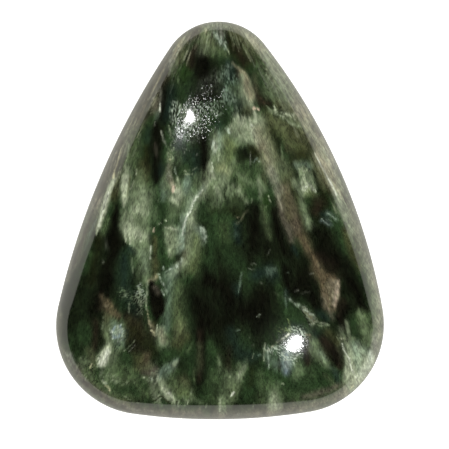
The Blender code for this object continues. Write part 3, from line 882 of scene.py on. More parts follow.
LEFT_STROKES = [
    # The dark fields inside the left rim.
    ("wash", "olive_black", 0.8, (-12.0, -2.0, 0.6), (-12.3, -4.0, 0.7), (-12.6, -6.0, 0.8)),
    ("wash", "black", 1.0, (-10.6, -2.4, 0.8), (-11.0, -4.4, 1.4), (-11.6, -6.8, 1.6),
     (-12.2, -8.6, 1.4)),
    ("wash", "dark_teal", 0.9, (-9.5, -3.6, 0.7), (-9.4, -5.0, 1.0), (-9.4, -6.6, 1.0),
     (-8.8, -8.0, 1.2), (-8.4, -9.0, 0.9)),
    ("wash", "black", 0.5, (-8.3, -7.4, 0.8), (-8.2, -8.8, 0.8)),
    ("plume", "grey", 0.5, (-11.3, -2.2, 0.2), (-11.35, -2.9, 0.25)),
    ("edge", "grey", 0.7, (-11.55, -4.0, 0.12), (-11.55, -4.2, 0.12)),
    # The sage mass and its tongue, and the fields right of them.
    ("patch", "sage_green", 1.0, (-8.6, -0.5, 1.3), (-8.3, -1.6, 1.2), (-7.7, -2.8, 0.9)),
    ("wash", "sage_green", 1.0, (-7.7, -3.0, 1.1), (-7.5, -4.2, 1.1), (-7.4, -5.0, 1.0),
     (-7.3, -5.8, 0.6)),
    ("wash", "dark_teal", 0.8, (-8.9, -2.9, 0.5), (-8.5, -3.2, 0.4)),
    ("wash", "sage", 1.0, (-9.2, -0.5, 0.7), (-8.7, -1.2, 0.9), (-8.0, -1.4, 0.8), (-7.4, -1.6, 0.6)),
    ("wash", "pale_sage", 0.7, (-9.2, -0.9, 0.5), (-8.4, -1.2, 0.6)),
    ("wash", "mist", 0.3, (-7.5, -3.4, 0.6), (-7.4, -4.6, 0.6)),
    ("wash", "dark_olive", 1.0, (-6.35, -1.6, 0.3), (-6.4, -3.4, 0.4), (-6.35, -4.8, 0.5),
     (-6.3, -5.4, 0.4)),
    ("wash", "dark_green", 0.9, (-5.8, -1.8, 0.4), (-5.7, -3.2, 0.6), (-5.2, -3.9, 0.6)),
    ("wash", "tan", 0.8, (-6.9, -5.9, 0.35), (-6.4, -5.7, 0.35), (-6.2, -5.4, 0.25)),
    ("wash", "teal_sage", 1.0, (-4.6, -4.9, 0.6), (-5.0, -5.6, 0.8), (-5.0, -6.4, 0.6)),
    ("wash", "sage", 0.5, (-4.5, -5.0, 0.4), (-5.0, -5.5, 0.5)),
    ("wash", "dark_green", 0.9, (-2.8, -5.6, 0.6), (-3.4, -5.9, 0.6)),
    # The black lens and the columns right of it.
    ("wash", "teal_sage", 0.7, (-5.0, -7.2, 0.7), (-5.0, -8.6, 0.8), (-5.2, -9.8, 0.7),
     (-5.4, -10.6, 0.6)),
    ("wash", "green", 0.9, (-4.2, -6.4, 0.8), (-4.2, -7.8, 0.8), (-4.1, -9.4, 0.9), (-3.8, -10.8, 0.8)),
    ("wash", "moss", 0.4, (-4.1, -8.6, 0.5), (-3.9, -10.8, 0.7)),
    ("patch", "black", 1.0, (-6.7, -6.1, 0.3), (-6.5, -7.0, 0.6), (-6.2, -8.0, 0.8), (-6.1, -8.8, 0.7),
     (-6.3, -9.6, 0.15)),
    ("wash", "grey_brown", 0.7, (-6.4, -6.6, 0.35), (-6.2, -7.1, 0.3)),
    ("wash", "dark_olive", 0.8, (-6.6, -10.1, 0.3), (-6.6, -10.9, 0.3)),
    # The brown patch and the field with leaning streaks.
    ("wash", "brown", 0.8, (-11.6, -7.6, 0.4), (-11.3, -8.4, 0.8), (-10.8, -9.0, 0.8),
     (-10.2, -9.5, 0.5)),
    ("edge", "brown", 0.8, (-11.1, -7.7, 0.15), (-10.5, -8.6, 0.15), (-9.9, -9.5, 0.2)),
    ("edge", "tan", 1.0, (-11.5, -8.35, 0.1), (-11.25, -8.4, 0.14)),
    ("wash", "olive", 0.8, (-11.2, -9.5, 0.5), (-11.1, -10.4, 0.7), (-11.2, -11.4, 0.6)),
    ("wash", "sage_green", 0.8, (-10.6, -10.2, 0.6), (-10.6, -11.2, 0.9)),
    ("wash", "brown_black", 0.9, (-9.2, -9.6, 0.6), (-8.2, -10.4, 1.3), (-7.8, -11.6, 1.2)),
    ("wash", "dark_olive", 0.8, (-8.9, -9.8, 0.4), (-9.2, -10.8, 0.5), (-9.3, -11.8, 0.5)),
    ("wash", "dark_olive", 0.5, (-8.1, -10.0, 0.3), (-8.4, -11.2, 0.3)),
    ("wash", "teal_sage", 0.8, (-9.7, -10.4, 0.4), (-9.8, -11.4, 0.6), (-9.9, -12.2, 0.5)),
    ("wash", "tan", 0.5, (-7.0, -9.8, 0.2), (-6.8, -10.6, 0.3), (-6.4, -11.4, 0.5)),
    # Small pale patches, and longer strokes over all of these.
    ("wash", "sage", 0.7, (-3.6, -4.2, 0.5), (-4.2, -4.6, 0.5)),
    ("wash", "sage", 0.9, (-5.9, -11.0, 0.6), (-5.7, -12.2, 0.8)),
    ("wash", "tan", 0.4, (-5.9, -11.2, 0.5), (-5.6, -11.8, 0.5)),
    ("plume", "sage", 0.5, (-9.2, 2.4, 0.6), (-9.1, 0.4, 0.9), (-8.6, -2.2, 0.6)),
    ("plume", "sage_green", 0.5, (-6.6, 2.8, 0.5), (-6.4, 0.2, 0.6)),
    ("wash", "green", 0.45, (-4.8, -0.8, 0.6), (-4.6, -3.4, 0.6)),
]

LOWER_LEFT_STROKES = [
    # Along the lower left rim.
    ("wash", "dark_green", 0.9, (-13.4, -10.8, 0.8), (-13.6, -12.4, 0.9), (-13.5, -13.6, 0.7)),
    ("wash", "black", 0.5, (-13.75, -12.2, 0.3), (-13.7, -13.0, 0.3)),
    ("wash", "brown_black", 0.8, (-12.4, -10.0, 0.4), (-12.4, -11.6, 0.45), (-12.5, -12.6, 0.4)),
    ("wash", "olive", 0.8, (-12.9, -13.1, 0.6), (-12.6, -13.9, 0.7), (-12.8, -14.8, 0.6)),
    ("wash", "green", 0.9, (-13.6, -14.0, 0.7), (-13.3, -14.8, 0.9), (-12.8, -15.6, 0.8),
     (-11.8, -16.8, 0.7)),
    ("wash", "grey", 0.7, (-15.0, -13.4, 0.4), (-14.6, -14.4, 0.5)),
    ("wash", "grey_brown", 0.8, (-14.4, -14.8, 0.5), (-13.6, -15.8, 0.6), (-12.2, -17.1, 0.6),
     (-10.8, -17.9, 0.6), (-9.4, -18.6, 0.6), (-6.0, -19.2, 0.6), (-2.0, -19.3, 0.6)),
    # The green field between the feathers.
    ("wash", "dark_green", 1.0, (-9.6, -13.4, 0.8), (-9.0, -14.4, 0.9)),
    ("wash", "green", 0.7, (-11.2, -14.8, 0.8), (-10.0, -14.6, 0.9), (-8.6, -14.8, 0.8)),
    ("wash", "green", 0.9, (-11.6, -16.2, 0.8), (-10.4, -15.6, 1.0), (-8.9, -15.7, 1.0),
     (-7.8, -15.9, 0.8)),
    ("wash", "green", 0.8, (-10.4, -17.2, 0.8), (-8.6, -17.2, 0.9), (-7.4, -17.2, 0.9),
     (-6.8, -16.9, 0.6)),
    ("wash", "dark_green", 0.8, (-9.7, -16.9, 0.4), (-8.8, -16.6, 0.5), (-8.2, -17.3, 0.4)),
    ("wash", "dark_green", 0.7, (-7.7, -16.0, 0.4), (-7.4, -16.6, 0.5)),
    ("wash", "olive", 0.6, (-10.8, -17.5, 0.5), (-9.8, -18.0, 0.5), (-8.8, -18.4, 0.4)),
    # The silver feather and the white one under it.
    ("wash", "sage_green", 0.7, (-11.4, -10.6, 0.5), (-11.2, -11.6, 0.5), (-11.1, -12.3, 0.4)),
    ("plume", "teal_sage", 1.0, (-10.4, -10.4, 0.5), (-10.0, -11.2, 0.9), (-10.1, -12.2, 0.8)),
    ("wash", "silver", 0.45, (-10.4, -10.7, 0.3), (-10.1, -11.2, 0.4), (-9.9, -11.8, 0.3)),
    ("wash", "sage_green", 0.7, (-10.2, -12.8, 0.5), (-10.6, -13.6, 0.5)),
    ("wash", "sage", 0.8, (-10.9, -12.2, 0.5), (-11.2, -13.0, 0.8), (-11.5, -13.8, 0.9)),
    ("patch", "pale_sage", 1.0, (-11.0, -12.5, 0.35), (-11.3, -13.0, 0.5), (-11.6, -13.6, 0.6),
     (-11.85, -14.2, 0.45)),
    ("wash", "white", 0.8, (-11.1, -12.8, 0.25), (-11.4, -13.3, 0.4), (-11.7, -13.9, 0.45),
     (-11.9, -14.3, 0.3)),
    ("edge", "sage", 0.8, (-11.6, -14.8, 0.25), (-11.75, -15.4, 0.2)),
    # The brown ground and the dark one right of it.
    ("wash", "olive_black", 0.6, (-8.4, -10.9, 0.7), (-7.6, -12.0, 0.9), (-6.8, -12.8, 0.7)),
    ("wash", "brown_black", 0.5, (-8.6, -12.9, 0.4), (-7.6, -12.7, 0.5)),
    ("wash", "dark_olive", 0.9, (-8.1, -13.5, 0.7), (-7.9, -14.4, 0.7)),
    ("wash", "brown", 0.7, (-7.2, -13.3, 0.5), (-7.3, -14.1, 0.6)),
    ("wash", "olive", 0.8, (-7.7, -14.6, 0.5), (-7.0, -14.5, 0.6)),
    ("wash", "grey_brown", 0.9, (-7.4, -15.1, 0.45), (-6.6, -15.1, 0.5), (-6.4, -14.7, 0.4)),
    ("wash", "sage_green", 0.8, (-7.5, -15.7, 0.3), (-6.8, -15.8, 0.4)),
    ("wash", "dark_green", 0.9, (-5.3, -13.2, 0.8), (-5.6, -14.1, 0.6), (-4.5, -13.2, 0.6)),
    # The soft teal arc, and the bright feather under it with its teeth.
    ("wash", "green", 0.9, (-4.8, -15.0, 0.9), (-4.8, -16.2, 1.0), (-4.0, -16.9, 1.0),
     (-3.2, -17.3, 0.9)),
    ("wash", "teal_sage", 0.9, (-4.2, -13.7, 0.3), (-4.6, -14.2, 0.45), (-5.2, -14.6, 0.45),
     (-5.8, -15.0, 0.4), (-6.0, -15.7, 0.35)),
    ("wash", "teal_sage", 0.5, (-4.8, -14.7, 0.5), (-5.4, -15.4, 0.5)),
    ("wash", "sage", 0.8, (-4.2, -13.8, 0.2), (-4.45, -14.2, 0.3)),
    ("wash", "dark_green", 0.6, (-3.9, -14.9, 0.5), (-4.6, -15.3, 0.4)),
    ("wash", "moss", 0.6, (-4.1, -16.9, 0.6), (-3.3, -17.2, 0.6)),
    ("wash", "sage_green", 0.7, (-4.6, -17.3, 0.6), (-4.2, -18.2, 0.5), (-3.1, -17.8, 0.5)),
    ("wash", "sage", 0.8, (-6.7, -15.9, 0.35), (-6.6, -16.7, 0.45), (-6.4, -17.4, 0.5),
     (-6.1, -18.1, 0.4)),
    ("wash", "sage_green", 0.6, (-2.8, -16.6, 0.2), (-2.8, -17.6, 0.3), (-2.0, -18.2, 0.4)),
    ("wash", "sage", 0.9, (-5.8, -15.9, 0.35), (-5.6, -16.5, 0.5), (-5.3, -17.1, 0.6),
     (-4.9, -17.7, 0.5), (-4.6, -18.2, 0.3)),
    ("wash", "pale_sage", 0.9, (-5.7, -16.6, 0.2), (-5.4, -17.0, 0.35), (-5.0, -17.4, 0.4),
     (-4.7, -17.8, 0.25)),
    # Longer feathers over these.
    ("plume", "green", 0.55, (-9.6, -10.2, 0.6), (-10.3, -12.4, 0.9)),
    ("plume", "sage_green", 0.5, (-10.2, -13.0, 0.7), (-11.2, -15.6, 0.8), (-10.8, -17.4, 0.5)),
    ("plume", "sage", 0.4, (-13.2, -14.0, 0.5), (-14.6, -15.0, 0.5)),
]

BOTTOM_STROKES = [
    # Between the feathers and the dark streak, and the streak itself.
    ("wash", "olive", 0.7, (-3.9, -10.6, 0.9), (-4.2, -11.6, 0.9)),
    ("wash", "moss", 0.4, (-4.0, -10.6, 0.7), (-3.6, -11.0, 0.5)),
    ("wash", "dark_olive", 0.8, (-4.2, -12.4, 0.8), (-3.4, -11.6, 0.8)),
    ("wash", "dark_green", 0.7, (-3.0, -12.6, 0.8), (-2.8, -14.4, 0.9), (-3.0, -16.0, 0.9)),
    ("edge", "green", 0.7, (-2.7, -12.2, 0.2), (-3.2, -13.0, 0.2)),
    ("wash", "dark_olive", 0.7, (-4.0, -15.6, 0.8), (-3.4, -16.2, 0.7)),
    ("wash", "olive", 0.6, (-3.6, -15.7, 0.4), (-3.4, -16.2, 0.5)),
    ("edge", "green", 0.8, (-2.55, -14.7, 0.12), (-2.5, -15.6, 0.18), (-2.4, -16.3, 0.12)),
    ("wash", "black", 1.0, (-2.0, -8.0, 1.6), (-1.6, -10.0, 1.5), (-1.9, -12.0, 0.8),
     (-1.95, -14.0, 0.7), (-1.9, -16.0, 0.5)),
    ("wash", "brown_black", 0.8, (-1.9, -11.0, 0.4), (-1.95, -13.4, 0.35), (-2.0, -15.8, 0.3)),
    ("wash", "dark_green", 0.9, (-0.8, -12.6, 0.8), (-0.6, -14.4, 1.0), (-0.6, -16.4, 1.3),
     (-1.4, -17.6, 1.0)),
    ("wash", "green", 0.5, (-0.6, -15.2, 0.7), (-0.4, -16.8, 0.8), (-1.0, -18.0, 0.8)),
    # The soft veil under the black field, and the green right of it.
    ("wash", "sage_green", 0.6, (-0.1, -13.4, 0.3), (0.05, -14.2, 0.35), (0.0, -14.9, 0.25)),
    ("wash", "sage_green", 0.9, (0.9, -15.4, 0.9), (1.1, -16.2, 1.1), (1.0, -17.2, 1.0),
     (0.5, -18.0, 0.8)),
    ("wash", "sage_green", 0.8, (2.6, -13.7, 0.3), (2.3, -14.6, 0.5), (1.9, -15.4, 0.6)),
    ("wash", "sage", 0.8, (2.4, -14.2, 0.25), (2.1, -14.9, 0.35), (1.75, -15.5, 0.4)),
    ("wash", "moss", 0.3, (1.4, -16.4, 0.8), (1.2, -17.2, 0.7)),
    ("wash", "dark_green", 1.0, (3.2, -15.4, 1.0), (3.0, -16.6, 1.0), (2.4, -17.6, 0.7),
     (4.6, -16.2, 0.8)),
    ("wash", "olive_black", 0.5, (3.2, -14.6, 0.5), (3.1, -16.2, 0.5)),
    ("wash", "green", 0.6, (4.1, -15.2, 0.5), (4.1, -16.8, 0.5), (4.2, -18.0, 0.6), (5.0, -15.6, 0.5)),
    ("wash", "sage_green", 0.8, (0.35, -17.6, 0.5), (0.2, -18.8, 0.5)),
    ("wash", "sage", 0.9, (5.7, -16.2, 0.5), (5.6, -17.2, 0.8), (5.5, -18.4, 0.9)),
    ("wash", "pale_sage", 0.4, (5.4, -17.2, 0.5), (5.5, -18.4, 0.6)),
    # The black field and its faint sparks.
    ("wash", "black", 1.0, (-1.2, -6.0, 1.2), (0.4, -6.6, 2.2), (1.4, -9.0, 2.6), (3.4, -9.4, 2.4),
     (4.2, -7.6, 1.6)),
    ("wash", "dark_green", 0.6, (0.8, -3.8, 0.9), (1.6, -4.4, 0.7)),
    ("wash", "dark_teal", 0.8, (1.6, -6.6, 0.6), (1.7, -7.2, 0.5)),
    ("edge", "teal_sage", 0.8, (2.2, -5.3, 0.12), (2.05, -5.9, 0.14), (1.95, -6.6, 0.16),
     (1.9, -7.1, 0.1)),
    ("wash", "dark_teal", 1.0, (3.4, -5.4, 0.7), (4.6, -4.9, 0.9), (5.2, -5.4, 0.9)),
    ("plume", "teal_sage", 0.55, (4.6, -4.5, 0.3), (4.9, -5.1, 0.5), (5.4, -4.9, 0.4)),
    ("wash", "dark_teal", 0.8, (1.0, -10.9, 0.7), (1.4, -12.4, 0.9), (2.2, -13.2, 0.9),
     (3.6, -13.4, 0.6)),
    ("wash", "brown_black", 0.5, (0.9, -12.6, 0.4), (0.8, -14.4, 0.5)),
    # Longer feathers and soft fields over these, right across the bottom.
    ("plume", "sage_green", 0.5, (1.9, -14.0, 0.5), (1.4, -16.3, 0.6)),
    ("plume", "sage", 0.45, (-6.8, -14.2, 0.6), (-5.9, -16.4, 0.6), (-4.7, -18.0, 0.5)),
    ("plume", "green", 0.45, (9.4, -15.0, 0.8), (7.6, -17.6, 0.6)),
    ("wash", "brown_black", 0.5, (-7.4, -19.4, 0.5), (0.0, -19.9, 0.5), (4.4, -19.7, 0.4)),
    ("wash", "green", 0.45, (-2.0, -12.2, 0.4), (-2.1, -15.0, 0.4)),
    ("wash", "dark_green", 0.6, (8.4, -17.8, 0.5), (11.8, -16.8, 0.5)),
]

LOWER_RIGHT_STROKES = [
    # The fracture that runs down to the right.
    ("wash", "dark_green", 0.8, (6.4, -8.6, 0.9), (7.4, -9.4, 1.1), (8.0, -10.2, 0.8)),
    ("edge", "sage_green", 0.6, (5.4, -7.0, 0.08), (6.0, -7.4, 0.12), (6.6, -7.7, 0.14)),
    ("edge", "teal_sage", 0.8, (6.45, -7.0, 0.1), (6.45, -7.8, 0.2), (6.5, -8.3, 0.1)),
    ("edge", "silver", 0.9, (6.9, -7.8, 0.16), (7.3, -8.1, 0.18), (8.0, -8.5, 0.2)),
    ("wash", "tan", 0.7, (8.3, -8.7, 0.3), (8.8, -9.2, 0.4), (9.2, -9.8, 0.35)),
    ("wash", "dark_teal", 0.8, (9.8, -9.2, 0.5), (10.4, -9.8, 0.4)),
    ("edge", "black", 0.9, (8.1, -9.0, 0.1), (8.6, -9.8, 0.16), (9.2, -10.8, 0.1)),
    ("wash", "sage_green", 0.4, (9.1, -10.4, 0.4), (10.6, -10.6, 0.3)),
    ("wash", "dark_teal", 0.7, (7.0, -10.4, 0.5), (8.4, -10.8, 0.7), (9.6, -11.2, 0.6)),
    # Round the lower highlight, and right of it.
    ("wash", "teal_sage", 0.5, (4.6, -12.6, 0.4), (5.4, -13.0, 0.6), (6.0, -12.6, 0.5)),
    ("wash", "teal_sage", 0.8, (4.6, -13.4, 0.4), (5.2, -14.0, 0.7), (5.6, -14.6, 0.6)),
    ("wash", "olive_black", 0.8, (6.0, -13.8, 0.25), (6.0, -14.8, 0.3)),
    ("wash", "sage_green", 0.9, (7.4, -14.0, 0.8), (7.8, -14.8, 0.8), (7.6, -15.6, 0.6)),
    ("wash", "blue_grey", 1.0, (6.6, -13.2, 0.7), (6.6, -14.2, 0.8), (6.6, -15.0, 0.5)),
    ("wash", "silver", 0.6, (6.7, -13.6, 0.4), (6.65, -14.4, 0.4)),
    ("wash", "dark_green", 0.7, (5.0, -15.4, 0.9), (6.2, -16.6, 1.0), (8.6, -16.4, 1.0),
     (7.4, -17.2, 0.8)),
    ("wash", "green", 0.4, (4.8, -16.4, 0.6), (6.4, -17.2, 0.8), (7.8, -17.4, 0.6)),
    ("wash", "brown_black", 0.9, (8.8, -11.4, 0.3), (8.6, -13.0, 0.4), (8.7, -14.2, 0.4)),
    ("wash", "dark_green", 0.8, (9.6, -14.8, 0.9), (10.6, -15.6, 1.0), (9.6, -16.2, 0.8),
     (11.4, -15.0, 0.7)),
    ("wash", "sage_green", 1.0, (9.1, -11.9, 0.5), (9.3, -12.7, 0.8), (9.8, -13.4, 0.8),
     (10.6, -14.2, 0.5)),
    ("wash", "mist", 0.8, (9.9, -13.1, 0.4), (10.4, -13.7, 0.4)),
    ("wash", "teal_sage", 0.4, (11.0, -14.4, 0.3), (11.8, -15.6, 0.4)),
    ("wash", "olive", 0.4, (10.4, -15.4, 0.3), (11.2, -16.2, 0.3), (11.6, -16.8, 0.2)),
    ("wash", "brown_black", 1.0, (10.2, -11.6, 0.6), (10.8, -12.6, 0.9), (11.5, -13.4, 0.7),
     (11.9, -14.4, 0.5)),
    ("wash", "black", 0.7, (11.2, -13.0, 0.5), (11.7, -14.2, 0.4)),
    ("wash", "dark_olive", 0.9, (10.6, -10.9, 0.4), (11.2, -11.6, 0.5), (11.7, -12.2, 0.3)),
    ("wash", "dark_teal", 0.7, (11.4, -15.2, 0.4), (11.7, -16.0, 0.4)),
    # The pale feather inside the lower right rim.
    ("wash", "green", 1.0, (14.2, -9.6, 0.9), (14.4, -10.8, 1.1), (14.4, -12.0, 1.0)),
    ("wash", "sage_green", 0.7, (14.4, -10.6, 0.7), (14.5, -11.6, 0.7)),
    ("plume", "sage_green", 0.8, (13.8, -9.3, 0.3), (14.2, -9.7, 0.4)),
    ("wash", "dark_green", 0.8, (13.2, -10.2, 0.4), (13.7, -11.6, 0.5)),
    ("wash", "sage", 0.8, (12.6, -10.0, 0.2), (12.75, -11.0, 0.25), (12.8, -11.7, 0.3)),
    ("wash", "sage_green", 0.8, (11.9, -11.7, 0.3), (12.6, -11.8, 0.4), (13.2, -11.8, 0.3)),
    ("wash", "sage", 1.0, (12.6, -12.4, 0.6), (12.9, -13.0, 0.8), (13.4, -13.6, 0.9)),
    ("wash", "mist", 1.0, (13.5, -12.6, 0.8), (14.2, -13.4, 1.2), (13.9, -14.6, 1.0)),
    ("patch", "sage", 1.0, (12.6, -13.4, 0.35), (12.9, -14.4, 0.65), (12.9, -15.2, 0.75),
     (13.0, -16.0, 0.8), (13.2, -16.8, 0.6)),
    ("patch", "pale_sage", 0.8, (12.7, -13.7, 0.3), (12.95, -14.4, 0.5), (13.2, -15.2, 0.6),
     (13.6, -15.8, 0.4)),
    ("wash", "pale_sage", 1.0, (14.7, -13.8, 0.8), (14.3, -14.7, 0.9), (13.9, -15.6, 0.8)),
    ("wash", "silver", 0.7, (15.0, -13.2, 0.35), (14.9, -14.2, 0.5), (14.2, -15.2, 0.5)),
    ("wash", "olive", 0.8, (13.2, -15.9, 0.3), (13.2, -16.6, 0.3)),
    ("wash", "grey", 0.6, (15.4, -11.6, 0.5), (15.5, -12.8, 0.4)),
    ("wash", "pale_sage", 0.6, (12.75, -13.9, 0.25), (12.9, -15.0, 0.5), (13.3, -16.2, 0.6)),
    ("wash", "sage", 0.6, (13.8, -12.6, 0.4), (14.2, -13.4, 0.5), (14.0, -14.0, 0.5)),
    ("wash", "pale_sage", 0.6, (14.6, -14.2, 0.5), (14.2, -14.9, 0.5)),
    ("wash", "sage", 0.4, (12.7, -12.6, 0.4), (12.9, -13.2, 0.4)),
    # Strokes drawn last, over all of these.
    ("wash", "grey_brown", 0.8, (8.4, -17.6, 0.4), (9.4, -17.3, 0.5), (10.6, -16.9, 0.4),
     (11.6, -16.5, 0.3)),
    ("wash", "sage_green", 0.5, (9.0, -12.4, 0.3), (9.3, -12.9, 0.4)),
    ("plume", "sage", 0.5, (12.0, -11.0, 0.6), (12.7, -13.2, 0.9), (12.9, -15.2, 0.6)),
    ("plume", "sage_green", 0.5, (8.6, -10.4, 0.5), (9.2, -12.2, 0.7), (10.6, -14.2, 0.5)),
    ("wash", "black", 0.5, (5.2, -7.4, 0.6), (5.6, -9.8, 0.7)),
]

TAN_STROKES = [
    # The dark fields round the tan patch, and the brown stem above it.
    ("wash", "black", 1.0, (9.8, -3.4, 1.0), (11.0, -4.0, 1.4), (12.4, -4.4, 1.0), (12.9, -6.0, 1.2),
     (13.6, -7.0, 1.1), (14.0, -8.4, 1.0), (14.6, -8.8, 0.5)),
    ("wash", "black", 1.0, (12.4, -8.6, 0.9), (12.1, -9.8, 0.8), (12.2, -10.8, 0.5)),
    ("wash", "black", 1.0, (6.5, -4.6, 0.6), (6.6, -5.8, 0.8), (6.9, -7.0, 0.7), (7.6, -6.8, 1.2)),
    ("wash", "black", 1.0, (8.2, -5.6, 1.6), (9.0, -7.0, 1.4), (9.6, -8.4, 0.8)),
    ("wash", "dark_teal", 0.8, (6.5, -6.9, 0.3), (6.5, -7.8, 0.5)),
    ("wash", "brown_black", 0.6, (11.0, -4.4, 0.8), (9.8, -3.4, 0.5)),
    ("wash", "brown", 0.9, (8.6, -2.6, 0.7), (9.2, -3.6, 0.6), (9.7, -4.6, 0.6), (10.1, -5.6, 0.5)),
    ("wash", "dark_teal", 0.9, (7.3, -2.8, 0.4), (7.6, -3.4, 0.3)),
    ("wash", "dark_green", 0.6, (7.6, -2.0, 0.4), (8.0, -3.0, 0.4)),
    ("edge", "tan", 0.4, (9.7, -4.2, 0.2), (10.1, -5.4, 0.25)),
    # The tan patch with its fine fibres.
    ("patch", "brown", 0.9, (10.6, -5.6, 0.6), (10.9, -6.2, 1.0), (11.0, -7.2, 1.05),
     (11.0, -8.3, 0.8)),
    ("wash", "brown", 0.8, (10.0, -5.0, 0.45), (10.2, -6.2, 0.4), (10.4, -7.4, 0.35)),
    ("patch", "rim_grey", 0.5, (10.9, -6.3, 0.7), (10.9, -7.1, 0.85), (10.9, -8.0, 0.75)),
    ("patch", "rim_grey", 0.7, (11.5, -6.0, 0.25), (11.6, -6.8, 0.4), (11.5, -7.7, 0.45),
     (11.3, -8.2, 0.3)),
    ("edge", "pink", 0.9, (11.7, -5.8, 0.15), (11.75, -6.6, 0.26), (11.65, -7.6, 0.28),
     (11.45, -8.3, 0.2)),
    ("wash", "grey_brown", 0.6, (10.4, -7.7, 0.5), (10.8, -8.7, 0.6), (11.0, -9.6, 0.5)),
    ("wash", "dark_teal", 0.6, (10.2, -9.4, 0.4), (10.6, -9.9, 0.3)),
    # The band inside the right rim.
    ("wash", "dark_olive", 0.9, (12.4, -1.0, 0.5), (12.9, -2.6, 0.5), (13.3, -3.6, 0.6),
     (13.9, -4.8, 0.5)),
    ("wash", "sage", 0.45, (12.9, -1.2, 0.4), (13.6, -2.4, 0.5), (14.3, -3.6, 0.5), (14.9, -5.4, 0.4),
     (15.2, -7.2, 0.5), (15.4, -9.0, 0.5)),
    ("edge", "olive_black", 0.6, (13.3, -1.6, 0.2), (13.8, -2.8, 0.25)),
    # Softer strokes over the tan patch and round it.
    ("wash", "brown", 0.5, (9.3, -4.6, 0.6), (10.2, -6.6, 0.6), (10.8, -8.2, 0.5)),
    ("wash", "brown_black", 0.6, (12.2, -8.0, 0.5), (11.8, -8.9, 0.5), (11.8, -9.6, 0.4)),
    ("wash", "brown_black", 0.5, (10.9, -5.1, 0.5), (11.8, -5.4, 0.5)),
]

